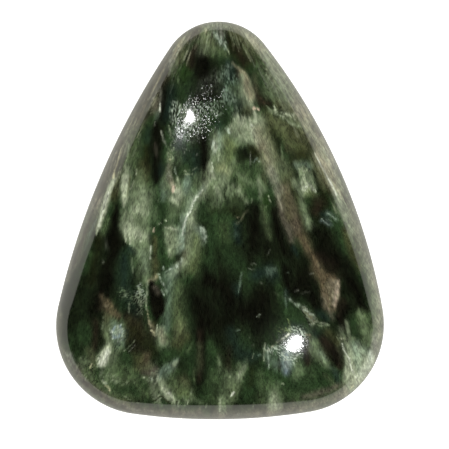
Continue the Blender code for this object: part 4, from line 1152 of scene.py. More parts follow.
# Crisp lines on top of the silk.
LINES = [
    # Streaks along the girdle.
    ("edge", "brown_black", 0.7, (-15.2, -13.6, 0.1), (-14.4, -14.9, 0.2), (-13.2, -16.2, 0.22),
     (-12.0, -17.1, 0.1)),
    ("edge", "brown_black", 0.6, (-13.9, -15.9, 0.1), (-12.6, -17.0, 0.18), (-11.0, -18.0, 0.2),
     (-9.4, -18.6, 0.1)),
    ("edge", "grey", 0.6, (-15.6, -12.8, 0.1), (-14.9, -14.3, 0.15), (-13.7, -15.7, 0.1)),
    ("edge", "brown_black", 0.6, (-11.4, -18.1, 0.1), (-9.6, -18.9, 0.2), (-7.6, -19.4, 0.1)),
    ("edge", "grey", 0.5, (-10.4, -18.2, 0.1), (-8.6, -18.8, 0.15), (-6.6, -19.1, 0.1)),
    ("edge", "brown_black", 0.8, (-12.6, 1.0, 0.1), (-13.6, -1.6, 0.25), (-14.4, -3.6, 0.3),
     (-14.9, -5.4, 0.1)),
    ("edge", "blue_grey", 0.25, (-12.3, 0.2, 0.1), (-12.9, -1.2, 0.2), (-13.4, -2.8, 0.1)),
    ("edge", "brown_black", 0.5, (-10.4, 6.6, 0.1), (-11.6, 3.4, 0.2), (-12.4, 1.4, 0.1)),
    ("edge", "brown_black", 0.5, (-4.8, 16.9, 0.1), (-6.4, 14.2, 0.22), (-7.4, 12.0, 0.15)),
    ("edge", "tan", 0.5, (-5.2, 16.0, 0.1), (-6.6, 13.2, 0.15), (-7.4, 11.4, 0.1)),
    # The lower right.
    ("edge", "pale_yellow", 0.9, (12.0, -11.8, 0.05), (12.4, -11.8, 0.07)),
    ("edge", "black", 0.7, (11.9, -11.95, 0.04), (12.5, -12.0, 0.07), (12.8, -11.95, 0.04)),
    ("glitter", "green_black", 0.8, (12.0, -11.7, 0.3), (12.8, -11.8, 0.4)),
    ("edge", "pale_sage", 0.8, (12.85, -14.7, 0.05), (13.2, -15.3, 0.09), (13.6, -15.7, 0.06)),
    # The right middle.
    ("edge", "pale_sage", 0.9, (4.75, 2.4, 0.04), (4.9, 2.0, 0.08), (5.05, 1.6, 0.05)),
    ("glitter", "pale_sage", 0.8, (7.9, 5.0, 0.3), (8.8, 4.6, 0.4), (8.4, 3.9, 0.5)),
    ("glitter", "dark_green", 0.7, (8.9, 4.4, 0.4), (9.1, 3.8, 0.4), (8.2, 4.4, 0.3)),
    ("glitter", "white", 0.6, (8.0, 3.3, 0.3), (8.8, 3.2, 0.35), (9.4, 3.1, 0.25)),
    ("edge", "silver", 0.6, (10.5, 0.75, 0.05), (11.0, 0.5, 0.07), (11.5, 0.1, 0.05)),
    ("edge", "mist", 0.5, (10.3, 0.45, 0.06), (10.7, 0.2, 0.09), (11.1, -0.1, 0.06)),
    ("edge", "silver", 0.5, (10.1, 0.15, 0.06), (10.5, 0.0, 0.1), (10.8, -0.3, 0.06)),
    # The pale line beside the speckled teal field.
    ("edge", "pale_yellow", 0.5, (1.5, 15.5, 0.03), (2.0, 15.0, 0.06), (2.5, 14.5, 0.07),
     (2.85, 13.9, 0.03)),
    # The left middle.
    ("edge", "silver", 1.0, (-4.45, 5.25, 0.07), (-4.4, 4.85, 0.14), (-4.3, 4.5, 0.08)),
    ("edge", "pale_sage", 0.9, (-4.2, 4.4, 0.08), (-4.1, 3.9, 0.15), (-4.0, 3.4, 0.1)),
    ("edge", "grey", 0.6, (-4.0, 7.1, 0.03), (-3.4, 6.9, 0.05), (-2.75, 6.7, 0.03)),
    ("edge", "grey", 0.8, (-3.55, 6.6, 0.1), (-3.5, 6.55, 0.1)),
    ("glitter", "sage", 0.8, (-4.9, 6.9, 0.4), (-4.9, 5.9, 0.4), (-4.6, 7.6, 0.4)),
    ("glitter", "grey", 0.7, (-5.2, 5.2, 0.3), (-5.0, 4.2, 0.4)),
    ("edge", "pale_yellow", 0.9, (-4.98, 6.05, 0.06), (-4.92, 5.92, 0.1)),
    ("edge", "sage", 0.9, (-3.5, 4.45, 0.05), (-3.1, 4.6, 0.07), (-2.7, 4.62, 0.05)),
    ("edge", "sage", 0.9, (-3.5, 4.8, 0.1), (-3.35, 4.75, 0.08)),
    ("edge", "sage", 0.7, (-3.0, 4.95, 0.04), (-2.6, 5.05, 0.07), (-2.3, 5.2, 0.04)),
    # Painted glints round the upper highlight: specks for the lamp mirrored in the pitted polish.
    ("glitter", "silver", 0.7, (-2.3, 10.9, 0.5), (-1.2, 10.9, 0.6), (-0.2, 10.6, 0.5)),
    ("glitter", "mist", 0.7, (-1.9, 11.4, 0.4), (-0.8, 11.4, 0.6), (0.2, 11.6, 0.5)),
    ("glitter", "silver", 0.3, (-3.4, 11.3, 0.4), (-2.6, 11.2, 0.4)),
    ("glitter", "teal_sage", 1.0, (0.4, 12.2, 0.4), (0.6, 13.0, 0.4)),
    # The tan patch.
    ("edge", "brown", 0.7, (10.6, -6.3, 0.02), (10.65, -7.2, 0.05), (10.8, -8.0, 0.03)),
    ("edge", "brown", 0.7, (10.95, -6.0, 0.02), (11.0, -7.2, 0.05), (11.1, -8.4, 0.03)),
    ("edge", "brown", 0.6, (11.3, -6.2, 0.02), (11.35, -7.0, 0.05), (11.4, -8.0, 0.03)),
    ("edge", "pale_yellow", 0.5, (10.8, -6.5, 0.03), (10.85, -7.4, 0.05), (10.95, -8.2, 0.03)),
    ("edge", "pale_yellow", 0.5, (11.15, -6.4, 0.03), (11.2, -7.4, 0.05), (11.3, -8.1, 0.03)),
    # The plume's left side.
    ("edge", "pale_sage", 0.9, (-0.15, 7.9, 0.06), (-0.3, 7.4, 0.1), (-0.35, 6.9, 0.06)),
    ("edge", "pale_sage", 0.9, (-0.55, 7.8, 0.06), (-0.6, 7.4, 0.12), (-0.5, 7.0, 0.1),
     (-0.6, 6.7, 0.05)),
    ("edge", "silver", 0.8, (-0.8, 7.4, 0.06), (-0.75, 7.05, 0.1)),
    ("edge", "white", 0.7, (-0.75, 5.7, 0.06), (-0.7, 5.2, 0.1), (-0.8, 4.8, 0.08)),
    ("edge", "pale_sage", 0.9, (-0.65, 4.5, 0.06), (-0.6, 4.2, 0.12), (-0.45, 4.0, 0.08)),
    ("edge", "pale_sage", 0.7, (0.0, 6.9, 0.04), (-0.1, 6.3, 0.08), (-0.15, 5.8, 0.04)),
    ("glitter", "silver", 0.9, (-0.6, 7.6, 0.3), (-0.5, 6.9, 0.3)),
    # The upper part of the plume, and the hole in it.
    ("glitter", "pale_sage", 0.8, (0.9, 9.3, 0.3), (1.15, 8.9, 0.3)),
    ("edge", "silver", 0.9, (3.35, 5.95, 0.05), (3.6, 6.05, 0.09), (3.9, 5.9, 0.05)),
    ("edge", "sage", 0.5, (1.9, 9.9, 0.04), (2.3, 9.4, 0.07), (2.6, 8.9, 0.04)),
    ("edge", "dark_olive", 0.5, (1.5, 9.3, 0.04), (1.9, 8.8, 0.07), (2.2, 8.2, 0.04)),
    ("edge", "white", 0.7, (2.95, 9.7, 0.04), (3.15, 9.4, 0.08), (3.3, 9.15, 0.04)),
    ("edge", "dark_olive", 0.5, (2.5, 9.2, 0.04), (2.8, 8.7, 0.07), (3.0, 8.2, 0.04)),
    # The lower left rim, the silver feather and the white one under it.
    ("glitter", "sage", 0.8, (-13.7, -14.0, 0.4), (-13.3, -14.8, 0.7), (-12.9, -15.5, 0.6)),
    ("glitter", "green_black", 0.8, (-13.5, -14.3, 0.6), (-12.6, -14.9, 0.6), (-12.2, -15.9, 0.5)),
    ("edge", "pale_yellow", 0.9, (-12.8, -14.25, 0.06), (-12.9, -14.6, 0.11)),
    ("edge", "blue_grey", 0.8, (-9.9, -10.4, 0.1), (-9.75, -10.9, 0.2), (-10.0, -11.4, 0.2),
     (-10.5, -11.5, 0.2), (-10.75, -11.0, 0.15), (-10.4, -10.5, 0.12)),
    ("glitter", "silver", 1.0, (-9.9, -10.5, 0.3), (-9.7, -11.2, 0.35), (-10.3, -11.6, 0.4),
     (-10.7, -11.0, 0.3)),
    ("glitter", "dark_teal", 0.8, (-9.2, -11.0, 0.35), (-9.4, -11.8, 0.4), (-10.0, -11.6, 0.4),
     (-10.3, -12.6, 0.4)),
    ("glitter", "dark_green", 0.7, (-12.0, -12.9, 0.3), (-12.3, -13.8, 0.3), (-12.4, -14.8, 0.3)),
    ("edge", "sage", 0.8, (-8.4, -12.05, 0.05), (-8.9, -12.5, 0.09), (-9.5, -13.0, 0.07)),
    ("edge", "grey", 0.6, (-8.4, -12.5, 0.05), (-9.0, -12.95, 0.08)),
    ("glitter", "white", 0.9, (-11.6, -16.0, 0.2), (-11.35, -16.3, 0.25)),
    ("edge", "pale_yellow", 1.0, (-11.35, -16.5, 0.1), (-11.05, -16.75, 0.16), (-10.95, -16.95, 0.11)),
    ("edge", "pale_sage", 0.9, (-11.7, -15.95, 0.09), (-11.5, -16.15, 0.14), (-11.25, -16.2, 0.08)),
    # Teeth of the green field and of the bright feather under the teal arc.
    ("edge", "sage", 0.9, (-10.8, -15.9, 0.06), (-10.6, -15.75, 0.08), (-10.35, -15.8, 0.08),
     (-10.25, -16.0, 0.1), (-10.5, -16.1, 0.06)),
    ("edge", "sage_green", 0.8, (-9.2, -15.95, 0.1), (-9.6, -16.35, 0.13), (-10.0, -16.45, 0.08)),
    ("glitter", "sage", 0.6, (-11.6, -15.4, 0.3), (-10.6, -15.6, 0.5), (-9.4, -16.2, 0.4)),
    ("edge", "sage", 0.8, (-10.1, -17.25, 0.05), (-9.3, -17.6, 0.08), (-8.6, -17.95, 0.08),
     (-8.1, -18.15, 0.05)),
    ("glitter", "pale_sage", 0.9, (-7.4, -15.7, 0.3), (-6.8, -15.65, 0.35)),
    ("edge", "silver", 0.9, (-6.85, -15.5, 0.08), (-6.7, -15.85, 0.13)),
    ("edge", "pale_sage", 0.9, (-6.05, -15.3, 0.08), (-6.2, -15.9, 0.15), (-6.45, -16.25, 0.1)),
    ("glitter", "sage", 0.8, (-7.0, -14.8, 0.3), (-6.4, -15.1, 0.4)),
    ("edge", "sage", 0.8, (-5.85, -17.2, 0.06), (-6.3, -17.55, 0.08), (-6.7, -17.85, 0.06)),
    ("edge", "sage", 0.8, (-5.8, -17.6, 0.06), (-6.2, -17.9, 0.08), (-6.8, -18.3, 0.06)),
    ("edge", "sage", 0.7, (-6.9, -17.3, 0.05), (-6.5, -17.45, 0.08), (-6.1, -17.3, 0.05)),
    ("edge", "olive_black", 0.8, (-6.0, -17.45, 0.05), (-6.4, -17.8, 0.07), (-6.9, -18.1, 0.05)),
    ("edge", "olive_black", 0.9, (-5.85, -17.5, 0.06), (-5.3, -17.9, 0.1), (-4.9, -18.5, 0.1)),
    ("edge", "sage", 0.8, (-5.7, -17.45, 0.05), (-5.2, -17.75, 0.07), (-4.75, -18.4, 0.07)),
    ("edge", "white", 0.9, (-5.15, -17.1, 0.08), (-4.95, -17.35, 0.14), (-4.75, -17.65, 0.1)),
    ("edge", "pale_sage", 0.8, (-5.75, -16.6, 0.08), (-5.6, -16.85, 0.14)),
    ("edge", "sage", 0.8, (-2.8, -16.55, 0.06), (-2.85, -17.0, 0.08), (-2.95, -17.4, 0.05)),
    ("edge", "green_black", 0.8, (-4.3, -17.9, 0.05), (-4.35, -18.5, 0.08)),
    ("edge", "green_black", 0.8, (-3.85, -17.8, 0.05), (-3.9, -18.5, 0.08)),
    ("edge", "green_black", 0.8, (-3.3, -17.9, 0.05), (-3.35, -18.5, 0.08)),
    # The veil at the bottom.
    ("edge", "pale_sage", 0.7, (2.0, -14.9, 0.1), (1.75, -15.4, 0.2)),
    ("edge", "sage", 0.8, (1.15, -15.1, 0.06), (0.95, -15.55, 0.09)),
    ("edge", "white", 1.0, (1.05, -17.4, 0.08), (1.25, -17.3, 0.2), (1.4, -17.15, 0.12)),
    ("edge", "pale_sage", 0.9, (0.05, -17.7, 0.08), (-0.02, -18.4, 0.17), (-0.05, -19.0, 0.12)),
    ("edge", "sage", 0.8, (-0.05, -13.6, 0.06), (0.0, -14.4, 0.1)),
    ("edge", "sage", 0.7, (3.3, -13.2, 0.08), (3.2, -13.6, 0.08)),
    ("edge", "sage", 0.8, (3.4, -18.2, 0.06), (3.25, -18.7, 0.08)),
    # The upper edge of the olive field, and the band inside the upper right rim.
    ("edge", "pale_sage", 0.9, (4.65, 11.35, 0.07), (4.85, 11.05, 0.16), (5.2, 10.6, 0.1)),
    ("edge", "pale_sage", 0.9, (5.35, 11.4, 0.06), (5.5, 10.9, 0.13), (5.45, 10.6, 0.12)),
    ("glitter", "pale_sage", 0.9, (5.4, 10.8, 0.3), (6.0, 10.6, 0.35), (6.4, 10.4, 0.3)),
    ("edge", "pale_sage", 0.9, (6.45, 10.85, 0.07), (6.9, 10.5, 0.14), (7.4, 10.05, 0.1)),
    ("edge", "pale_sage", 0.8, (6.9, 10.75, 0.05), (7.4, 10.4, 0.1)),
    ("edge", "sage", 0.9, (6.3, 10.15, 0.08), (7.0, 9.75, 0.14), (7.7, 9.4, 0.1), (8.4, 9.25, 0.08)),
    ("edge", "sage", 0.8, (8.5, 8.95, 0.07), (9.1, 8.3, 0.1)),
    ("edge", "pale_yellow", 0.7, (8.4, 9.5, 0.1), (8.55, 9.3, 0.08)),
    ("edge", "pale_yellow", 0.8, (10.1, 7.7, 0.06), (10.4, 7.0, 0.08)),
    ("edge", "pale_yellow", 0.8, (10.0, 7.0, 0.05), (10.5, 6.3, 0.09), (10.9, 5.8, 0.06)),
    ("edge", "white", 0.9, (9.4, 6.65, 0.07), (9.7, 6.0, 0.12), (10.1, 5.2, 0.09), (10.6, 4.4, 0.1),
     (11.15, 3.4, 0.1), (11.6, 2.5, 0.1)),
    # The dark hole in the plume, the short fibres and the teal field.
    ("edge", "teal_sage", 0.8, (3.35, 5.95, 0.07), (3.6, 6.1, 0.11), (3.95, 5.95, 0.07)),
    ("edge", "grey", 0.7, (3.02, 6.9, 0.05), (3.02, 5.6, 0.08)),
    ("edge", "sage_green", 0.7, (7.6, 3.7, 0.08), (8.2, 2.4, 0.1)),
    ("glitter", "teal_sage", 0.6, (0.5, 13.4, 0.3), (0.8, 12.6, 0.5), (1.0, 12.0, 0.3)),
    # The fracture that runs down to the right.
    ("glitter", "silver", 1.0, (8.2, -8.6, 0.4), (8.7, -9.1, 0.5), (9.1, -9.7, 0.5), (9.5, -10.0, 0.3)),
    ("edge", "silver", 0.9, (8.1, -8.75, 0.1), (8.6, -8.9, 0.12), (9.1, -9.2, 0.1), (9.5, -9.7, 0.08)),
    ("edge", "pale_sage", 0.9, (9.0, -10.05, 0.08), (9.8, -10.1, 0.12), (10.75, -10.3, 0.1)),
    ("edge", "sage", 0.8, (9.6, -10.35, 0.06), (10.2, -10.4, 0.09), (10.7, -10.35, 0.06)),
    ("edge", "moss", 0.9, (6.7, -9.6, 0.05), (6.85, -10.1, 0.09), (7.05, -10.9, 0.09)),
    ("glitter", "moss", 1.0, (5.7, -10.9, 0.3), (6.5, -10.9, 0.5), (7.0, -11.0, 0.3)),
    # Painted glints over the lower highlight.
    ("glitter", "silver", 1.0, (7.2, -10.8, 0.4), (7.8, -11.0, 0.6), (8.3, -11.2, 0.4)),
    # Round the lower highlight.
    ("glitter", "silver", 0.9, (4.6, -12.4, 0.4), (5.2, -12.9, 0.6), (5.9, -12.9, 0.7),
     (6.5, -13.0, 0.5)),
    ("edge", "pale_sage", 0.9, (4.45, -12.0, 0.06), (4.4, -12.9, 0.1), (4.35, -13.8, 0.06)),
    ("edge", "silver", 1.0, (4.7, -12.9, 0.13), (4.8, -13.4, 0.11), (4.85, -14.6, 0.06)),
    ("edge", "rim_sage", 0.9, (4.6, -12.85, 0.06), (5.6, -12.15, 0.07), (6.4, -11.65, 0.08),
     (6.95, -11.35, 0.1)),
    ("edge", "white", 0.7, (6.2, -11.8, 0.06), (6.7, -11.5, 0.08), (7.0, -11.3, 0.08)),
    # Painted glints under the lower highlight, where its lower end is painted in.
    ("glitter", "silver", 1.0, (6.2, -13.4, 0.4), (7.0, -13.6, 0.5), (7.9, -13.4, 0.4)),
    ("edge", "tan", 0.8, (8.45, -11.2, 0.1), (8.9, -11.2, 0.12)),
    ("edge", "tan", 0.8, (8.5, -11.6, 0.12), (8.55, -12.1, 0.08)),
    # The pale feather inside the lower right rim.
    ("glitter", "sage", 1.0, (11.7, -11.6, 0.3), (12.4, -11.9, 0.5), (13.1, -11.8, 0.4)),
    ("edge", "pale_sage", 0.9, (11.9, -11.75, 0.08), (12.4, -11.85, 0.1)),
    ("edge", "white", 0.8, (12.1, -12.2, 0.05), (12.2, -12.9, 0.09), (12.5, -13.4, 0.1),
     (12.8, -13.8, 0.09)),
    ("edge", "white", 0.7, (12.85, -13.7, 0.12), (12.95, -14.4, 0.11), (13.15, -15.1, 0.14),
     (13.6, -15.8, 0.1)),
    ("edge", "pale_sage", 0.8, (12.5, -13.6, 0.1), (12.5, -14.6, 0.12), (12.55, -15.5, 0.08)),
    ("edge", "pale_sage", 0.8, (12.75, -15.2, 0.08), (12.9, -16.2, 0.13)),
    ("edge", "white", 0.5, (15.1, -13.0, 0.12), (15.15, -14.2, 0.16)),
    ("edge", "pale_sage", 0.6, (13.7, -13.6, 0.1), (13.7, -14.2, 0.12)),
    ("edge", "pale_yellow", 0.8, (13.3, -16.6, 0.14), (13.0, -16.9, 0.12)),
    # The bright edge inside the left rim.
    ("edge", "white", 0.6, (-11.05, 2.8, 0.08), (-11.35, 2.0, 0.16), (-11.6, 1.1, 0.15),
     (-11.85, 0.2, 0.14), (-12.0, -0.6, 0.09)),
    # The sage mass, the black lens and the columns beside it.
    ("edge", "pale_sage", 0.9, (-9.35, -0.9, 0.16), (-9.35, -1.7, 0.14), (-9.25, -2.4, 0.05)),
    ("edge", "pale_sage", 0.9, (-8.95, -1.3, 0.14), (-8.9, -2.0, 0.12), (-8.85, -2.5, 0.05)),
    ("edge", "pale_sage", 0.9, (-8.4, -1.2, 0.12), (-8.35, -2.0, 0.06)),
    ("edge", "pale_sage", 0.9, (-7.9, -1.3, 0.14), (-7.85, -2.1, 0.06)),
    ("edge", "white", 0.8, (-6.8, -2.6, 0.1), (-6.85, -3.2, 0.14), (-6.9, -3.8, 0.08)),
    ("edge", "sage", 0.5, (-8.7, -3.8, 0.06, 0.14), (-8.55, -5.0, 0.06, 0.14)),
    ("edge", "silver", 0.9, (-3.75, -3.9, 0.2), (-4.0, -4.3, 0.25), (-4.3, -4.6, 0.15)),
    ("edge", "silver", 0.9, (-4.8, -4.85, 0.1), (-5.3, -5.05, 0.1)),
    ("edge", "silver", 0.9, (-5.6, -4.55, 0.1), (-5.6, -4.85, 0.13)),
    ("edge", "silver", 0.9, (-6.15, -5.2, 0.12), (-6.0, -5.3, 0.1)),
    ("edge", "silver", 1.0, (-5.9, -5.6, 0.1), (-5.8, -6.05, 0.14), (-5.5, -6.5, 0.14),
     (-5.25, -7.3, 0.09)),
    ("edge", "silver", 0.9, (-5.75, -6.8, 0.09), (-5.5, -7.35, 0.12)),
    ("edge", "sage", 0.9, (-7.15, -6.0, 0.12), (-7.2, -6.8, 0.14), (-7.15, -7.5, 0.08)),
    ("edge", "sage", 0.9, (-7.35, -7.3, 0.1), (-7.3, -8.2, 0.14), (-7.25, -9.0, 0.08)),
    ("glitter", "silver", 1.0, (-7.9, -6.3, 0.4), (-7.85, -7.1, 0.7), (-7.9, -7.8, 0.6)),
    ("glitter", "sage", 0.8, (-7.9, -7.8, 0.6), (-8.0, -8.9, 0.5)),
    ("edge", "pale_sage", 0.8, (-8.0, -6.7, 0.14), (-7.8, -7.2, 0.16)),
    ("edge", "pale_sage", 0.8, (-7.8, -7.9, 0.1), (-7.82, -8.5, 0.1)),
    ("edge", "sage", 0.8, (-8.98, -8.2, 0.1), (-8.98, -9.2, 0.1)),
    ("glitter", "sage_green", 0.8, (-9.8, -7.0, 0.5), (-9.2, -7.4, 0.7), (-8.6, -7.8, 0.5)),
    ("edge", "pale_sage", 1.0, (-9.36, -7.35, 0.16), (-9.4, -7.5, 0.14)),
    ("edge", "tan", 0.8, (-7.15, -9.0, 0.07), (-7.05, -9.8, 0.08), (-6.85, -10.5, 0.09)),
    ("edge", "pale_yellow", 0.9, (-6.85, -10.9, 0.09), (-6.6, -11.2, 0.13), (-6.4, -11.5, 0.08)),
    ("edge", "pale_sage", 0.9, (-6.2, -10.3, 0.08), (-6.25, -11.4, 0.11)),
    ("edge", "sage", 0.7, (-11.55, -9.3, 0.07), (-11.6, -10.1, 0.09), (-11.7, -10.8, 0.06)),
    ("edge", "pale_sage", 0.8, (-5.4, -0.8, 0.1), (-4.9, -0.72, 0.14), (-4.3, -0.85, 0.09)),
    ("edge", "sage", 0.8, (-4.7, -2.6, 0.09), (-3.8, -2.4, 0.11)),
    ("edge", "pale_sage", 0.8, (-5.0, -2.7, 0.1), (-5.0, -3.5, 0.08)),
    # The pink spot, the long bright edge, two silvery patches and painted glints left of the upper
    # highlight.
    ("edge", "pink", 1.0, (-4.55, 3.4, 0.16), (-4.6, 3.0, 0.2)),
    ("edge", "white", 0.75, (-1.7, 2.9, 0.05, 0.14), (-2.3, 2.35, 0.06, 0.2), (-2.65, 1.6, 0.06, 0.22),
     (-2.85, 0.8, 0.06, 0.22), (-3.3, 0.0, 0.07, 0.22), (-3.6, -0.8, 0.07, 0.18),
     (-3.7, -1.6, 0.07, 0.1)),
    ("fuzz", "silver", 0.9, (-1.75, -0.7, 0.25), (-1.6, -1.3, 0.4), (-1.4, -2.0, 0.3)),
    ("glitter", "silver", 1.0, (-10.0, -10.3, 0.3), (-9.8, -11.0, 0.5), (-9.9, -11.8, 0.4)),
    # Painted glints left of the upper highlight.
    ("glitter", "silver", 0.9, (-4.5, 11.6, 0.5), (-4.4, 10.8, 0.7), (-4.5, 9.9, 0.5)),
    # The upper left, down to the sage mass.
    ("edge", "sage", 0.9, (-5.04, 9.2, 0.08), (-4.85, 8.6, 0.11), (-4.67, 8.2, 0.08)),
    ("edge", "white", 1.0, (-5.97, 11.65, 0.06), (-5.98, 10.9, 0.09)),
    ("edge", "grey", 0.7, (-6.45, 9.75, 0.09), (-6.5, 9.3, 0.11)),
    ("edge", "grey", 0.8, (-5.85, 8.9, 0.11), (-5.65, 8.2, 0.16), (-5.35, 7.4, 0.14)),
    ("edge", "sage", 0.7, (-9.0, 7.8, 0.08), (-9.1, 6.8, 0.12), (-9.3, 5.8, 0.12), (-9.4, 4.6, 0.14)),
    ("edge", "pale_sage", 0.9, (-8.5, 3.9, 0.07), (-8.85, 3.1, 0.11)),
    ("edge", "pale_sage", 0.9, (-8.25, 5.2, 0.08), (-8.3, 4.5, 0.11)),
    ("edge", "sage", 0.7, (-7.5, 1.2, 0.07), (-7.55, 0.6, 0.11)),
    ("edge", "sage", 0.7, (-7.1, 1.4, 0.07), (-7.1, 0.5, 0.11)),
    ("edge", "pale_sage", 0.6, (-8.7, 0.6, 0.11), (-8.7, -0.2, 0.14)),
    ("edge", "pale_sage", 1.0, (-6.25, -0.3, 0.06), (-5.9, -0.2, 0.09), (-5.3, -0.08, 0.11)),
    ("edge", "pink", 0.8, (-6.5, -0.8, 0.1), (-6.52, -1.1, 0.13)),
    # The tip, and the border of the green lobe.
    ("glitter", "silver", 0.8, (-0.5, 18.6, 0.5), (-0.1, 18.2, 0.6), (0.3, 17.6, 0.5),
     (0.6, 17.1, 0.25)),
    ("glitter", "teal_sage", 0.9, (0.7, 14.4, 0.7), (1.3, 13.9, 0.6)),
    ("edge", "pale_sage", 0.7, (-3.58, 18.45, 0.11), (-3.7, 18.1, 0.09)),
    ("edge", "pale_sage", 0.7, (-4.1, 17.1, 0.09), (-4.35, 16.5, 0.14)),
    ("edge", "pale_sage", 0.6, (-4.3, 17.6, 0.07), (-4.7, 16.9, 0.11)),
    ("edge", "pale_sage", 0.7, (0.75, 17.2, 0.08), (0.85, 16.75, 0.12)),
    ("edge", "brown", 0.6, (4.05, 12.2, 0.09), (4.5, 11.5, 0.07)),
    ("edge", "sage", 1.0, (4.3, 15.9, 0.11), (4.35, 15.7, 0.09)),
    ("edge", "sage", 1.0, (4.6, 15.0, 0.11), (4.8, 14.7, 0.14), (5.1, 14.85, 0.11)),
    ("edge", "sage", 0.8, (4.5, 14.6, 0.11), (4.75, 14.3, 0.09)),
    ("edge", "sage", 0.8, (5.1, 14.7, 0.09), (5.3, 14.3, 0.14)),
    ("edge", "sage", 0.9, (6.55, 11.85, 0.13), (6.65, 11.7, 0.09)),
    # Single bright fibres from all over the face.
    ("edge", "pink", 1.0, (3.3, 11.25, 0.13), (3.6, 11.1, 0.18), (3.9, 10.95, 0.13)),
    ("edge", "sage_green", 0.9, (-4.15, 14.1, 0.11), (-4.15, 13.9, 0.11)),
    ("edge", "pale_yellow", 0.6, (-9.85, 7.6, 0.09), (-10.0, 6.7, 0.09), (-10.2, 5.8, 0.09),
     (-10.5, 5.1, 0.11)),
    ("edge", "pale_yellow", 0.9, (-10.5, 5.1, 0.11), (-10.65, 4.3, 0.13)),
    ("edge", "sage", 0.5, (-4.95, 8.9, 0.11), (-4.85, 8.4, 0.11), (-4.6, 8.1, 0.11)),
    ("edge", "sage", 0.7, (-6.15, 2.1, 0.09), (-6.15, 1.8, 0.11)),
    ("edge", "grey", 0.8, (-2.35, 6.45, 0.14), (-2.3, 6.4, 0.14)),
    ("edge", "silver", 0.9, (0.65, 9.0, 0.27, 0.09), (0.9, 8.6, 0.23, 0.09)),
    ("edge", "pale_sage", 0.8, (2.2, 10.25, 0.11), (2.5, 10.0, 0.18)),
    ("edge", "pale_sage", 0.8, (1.3, 10.05, 0.14), (1.6, 9.7, 0.14)),
    ("edge", "pale_sage", 0.7, (2.85, 10.2, 0.09), (3.0, 9.9, 0.14)),
    ("edge", "sage", 0.6, (3.15, 2.1, 0.11), (3.2, 1.7, 0.09)),
    ("edge", "sage_green", 0.9, (4.5, 1.45, 0.11), (4.6, 1.35, 0.11)),
    ("edge", "tan", 0.7, (1.5, 0.42, 0.09), (1.9, 0.36, 0.09)),
    ("edge", "silver", 0.5, (-1.65, -1.0, 0.14), (-1.5, -1.6, 0.18)),
    ("edge", "sage_green", 0.8, (-8.55, -15.95, 0.14), (-8.45, -16.1, 0.13)),
    ("edge", "sage_green", 0.6, (-7.6, -16.1, 0.11), (-7.5, -16.3, 0.11)),
    ("edge", "sage", 0.9, (-4.1, -17.8, 0.11), (-4.2, -18.5, 0.09)),
    ("edge", "pale_sage", 0.8, (-3.65, -17.4, 0.11), (-3.6, -17.9, 0.09)),
    ("edge", "sage", 0.8, (-3.4, -17.8, 0.11), (-3.5, -18.4, 0.09)),
    ("edge", "pale_sage", 0.8, (-3.1, -17.8, 0.11), (-3.3, -18.3, 0.09)),
    ("edge", "pale_sage", 0.9, (-1.35, -18.3, 0.09), (-1.45, -18.65, 0.13)),
    ("edge", "grey", 0.9, (1.75, -19.35, 0.14), (1.95, -19.35, 0.13)),
    # Faint sparks in the black field.
    ("edge", "grey", 0.5, (2.8, -4.7, 0.11), (3.3, -4.75, 0.11)),
    ("edge", "grey", 0.5, (3.1, -4.2, 0.11), (3.5, -4.2, 0.11)),
    ("edge", "grey", 0.4, (4.7, -3.3, 0.09), (4.9, -3.0, 0.11)),
    ("edge", "grey", 0.5, (4.0, -6.1, 0.11), (4.15, -6.2, 0.09)),
    ("edge", "silver", 0.8, (3.65, -9.6, 0.09), (3.8, -9.5, 0.13), (3.95, -9.4, 0.09)),
    ("edge", "teal_sage", 0.6, (1.7, -10.9, 0.13), (1.9, -10.9, 0.13)),
    ("edge", "grey", 0.5, (2.85, -11.6, 0.13), (2.95, -11.7, 0.13)),
    ("edge", "grey", 0.4, (3.15, -12.5, 0.11), (3.3, -12.4, 0.11)),
    ("edge", "teal_sage", 0.5, (3.8, -13.4, 0.14), (4.0, -13.3, 0.13)),
    # Single fibres and faint scratches of the lower right.
    ("edge", "pale_sage", 0.7, (6.15, -16.1, 0.11), (6.35, -16.15, 0.09)),
    ("edge", "pale_sage", 0.8, (15.6, -9.8, 0.11), (15.75, -10.3, 0.13)),
    ("edge", "pale_yellow", 0.7, (11.65, -7.3, 0.14), (11.65, -7.7, 0.13)),
    ("edge", "tan", 0.7, (10.3, -7.7, 0.09), (10.5, -8.3, 0.11)),
    ("edge", "grey", 0.5, (7.4, -6.95, 0.11), (7.8, -6.95, 0.11)),
    ("edge", "grey", 0.4, (8.1, -7.15, 0.09), (8.5, -7.0, 0.11), (8.9, -6.95, 0.11)),
    ("edge", "grey", 0.4, (8.9, -5.3, 0.14), (9.2, -5.2, 0.14)),
    ("edge", "teal_sage", 0.5, (6.65, -5.1, 0.11), (6.75, -5.05, 0.11)),
    # Fine dark flecks that break up the pale lines.
    ("glitter", "olive_black", 0.45, (7.9, -8.4, 0.4), (8.8, -9.3, 0.5), (9.6, -10.0, 0.5)),
    ("glitter", "olive_black", 0.4, (11.6, -11.6, 0.4), (12.4, -11.9, 0.5), (13.2, -11.8, 0.4)),
    ("glitter", "green_black", 0.3, (-10.4, -10.2, 0.4), (-9.8, -11.2, 0.5), (-10.2, -12.2, 0.4)),
    ("glitter", "green_black", 0.3, (-7.9, -6.2, 0.5), (-7.8, -7.6, 0.6), (-8.0, -8.8, 0.4)),
    ("glitter", "green_black", 0.3, (-12.0, -12.6, 0.3), (-12.3, -13.8, 0.35), (-12.2, -14.8, 0.3)),
    ("glitter", "dark_green", 0.25, (-11.8, -15.8, 0.4), (-11.2, -16.6, 0.5), (-10.4, -15.9, 0.4)),
    ("glitter", "dark_olive", 0.5, (10.4, -5.8, 0.5), (10.7, -7.2, 0.6), (11.0, -8.4, 0.5)),
    # Painted glints under the upper highlight.
    ("glitter", "silver", 0.7, (-4.2, 9.0, 0.5), (-3.2, 9.4, 0.6), (-2.4, 9.2, 0.5)),
]

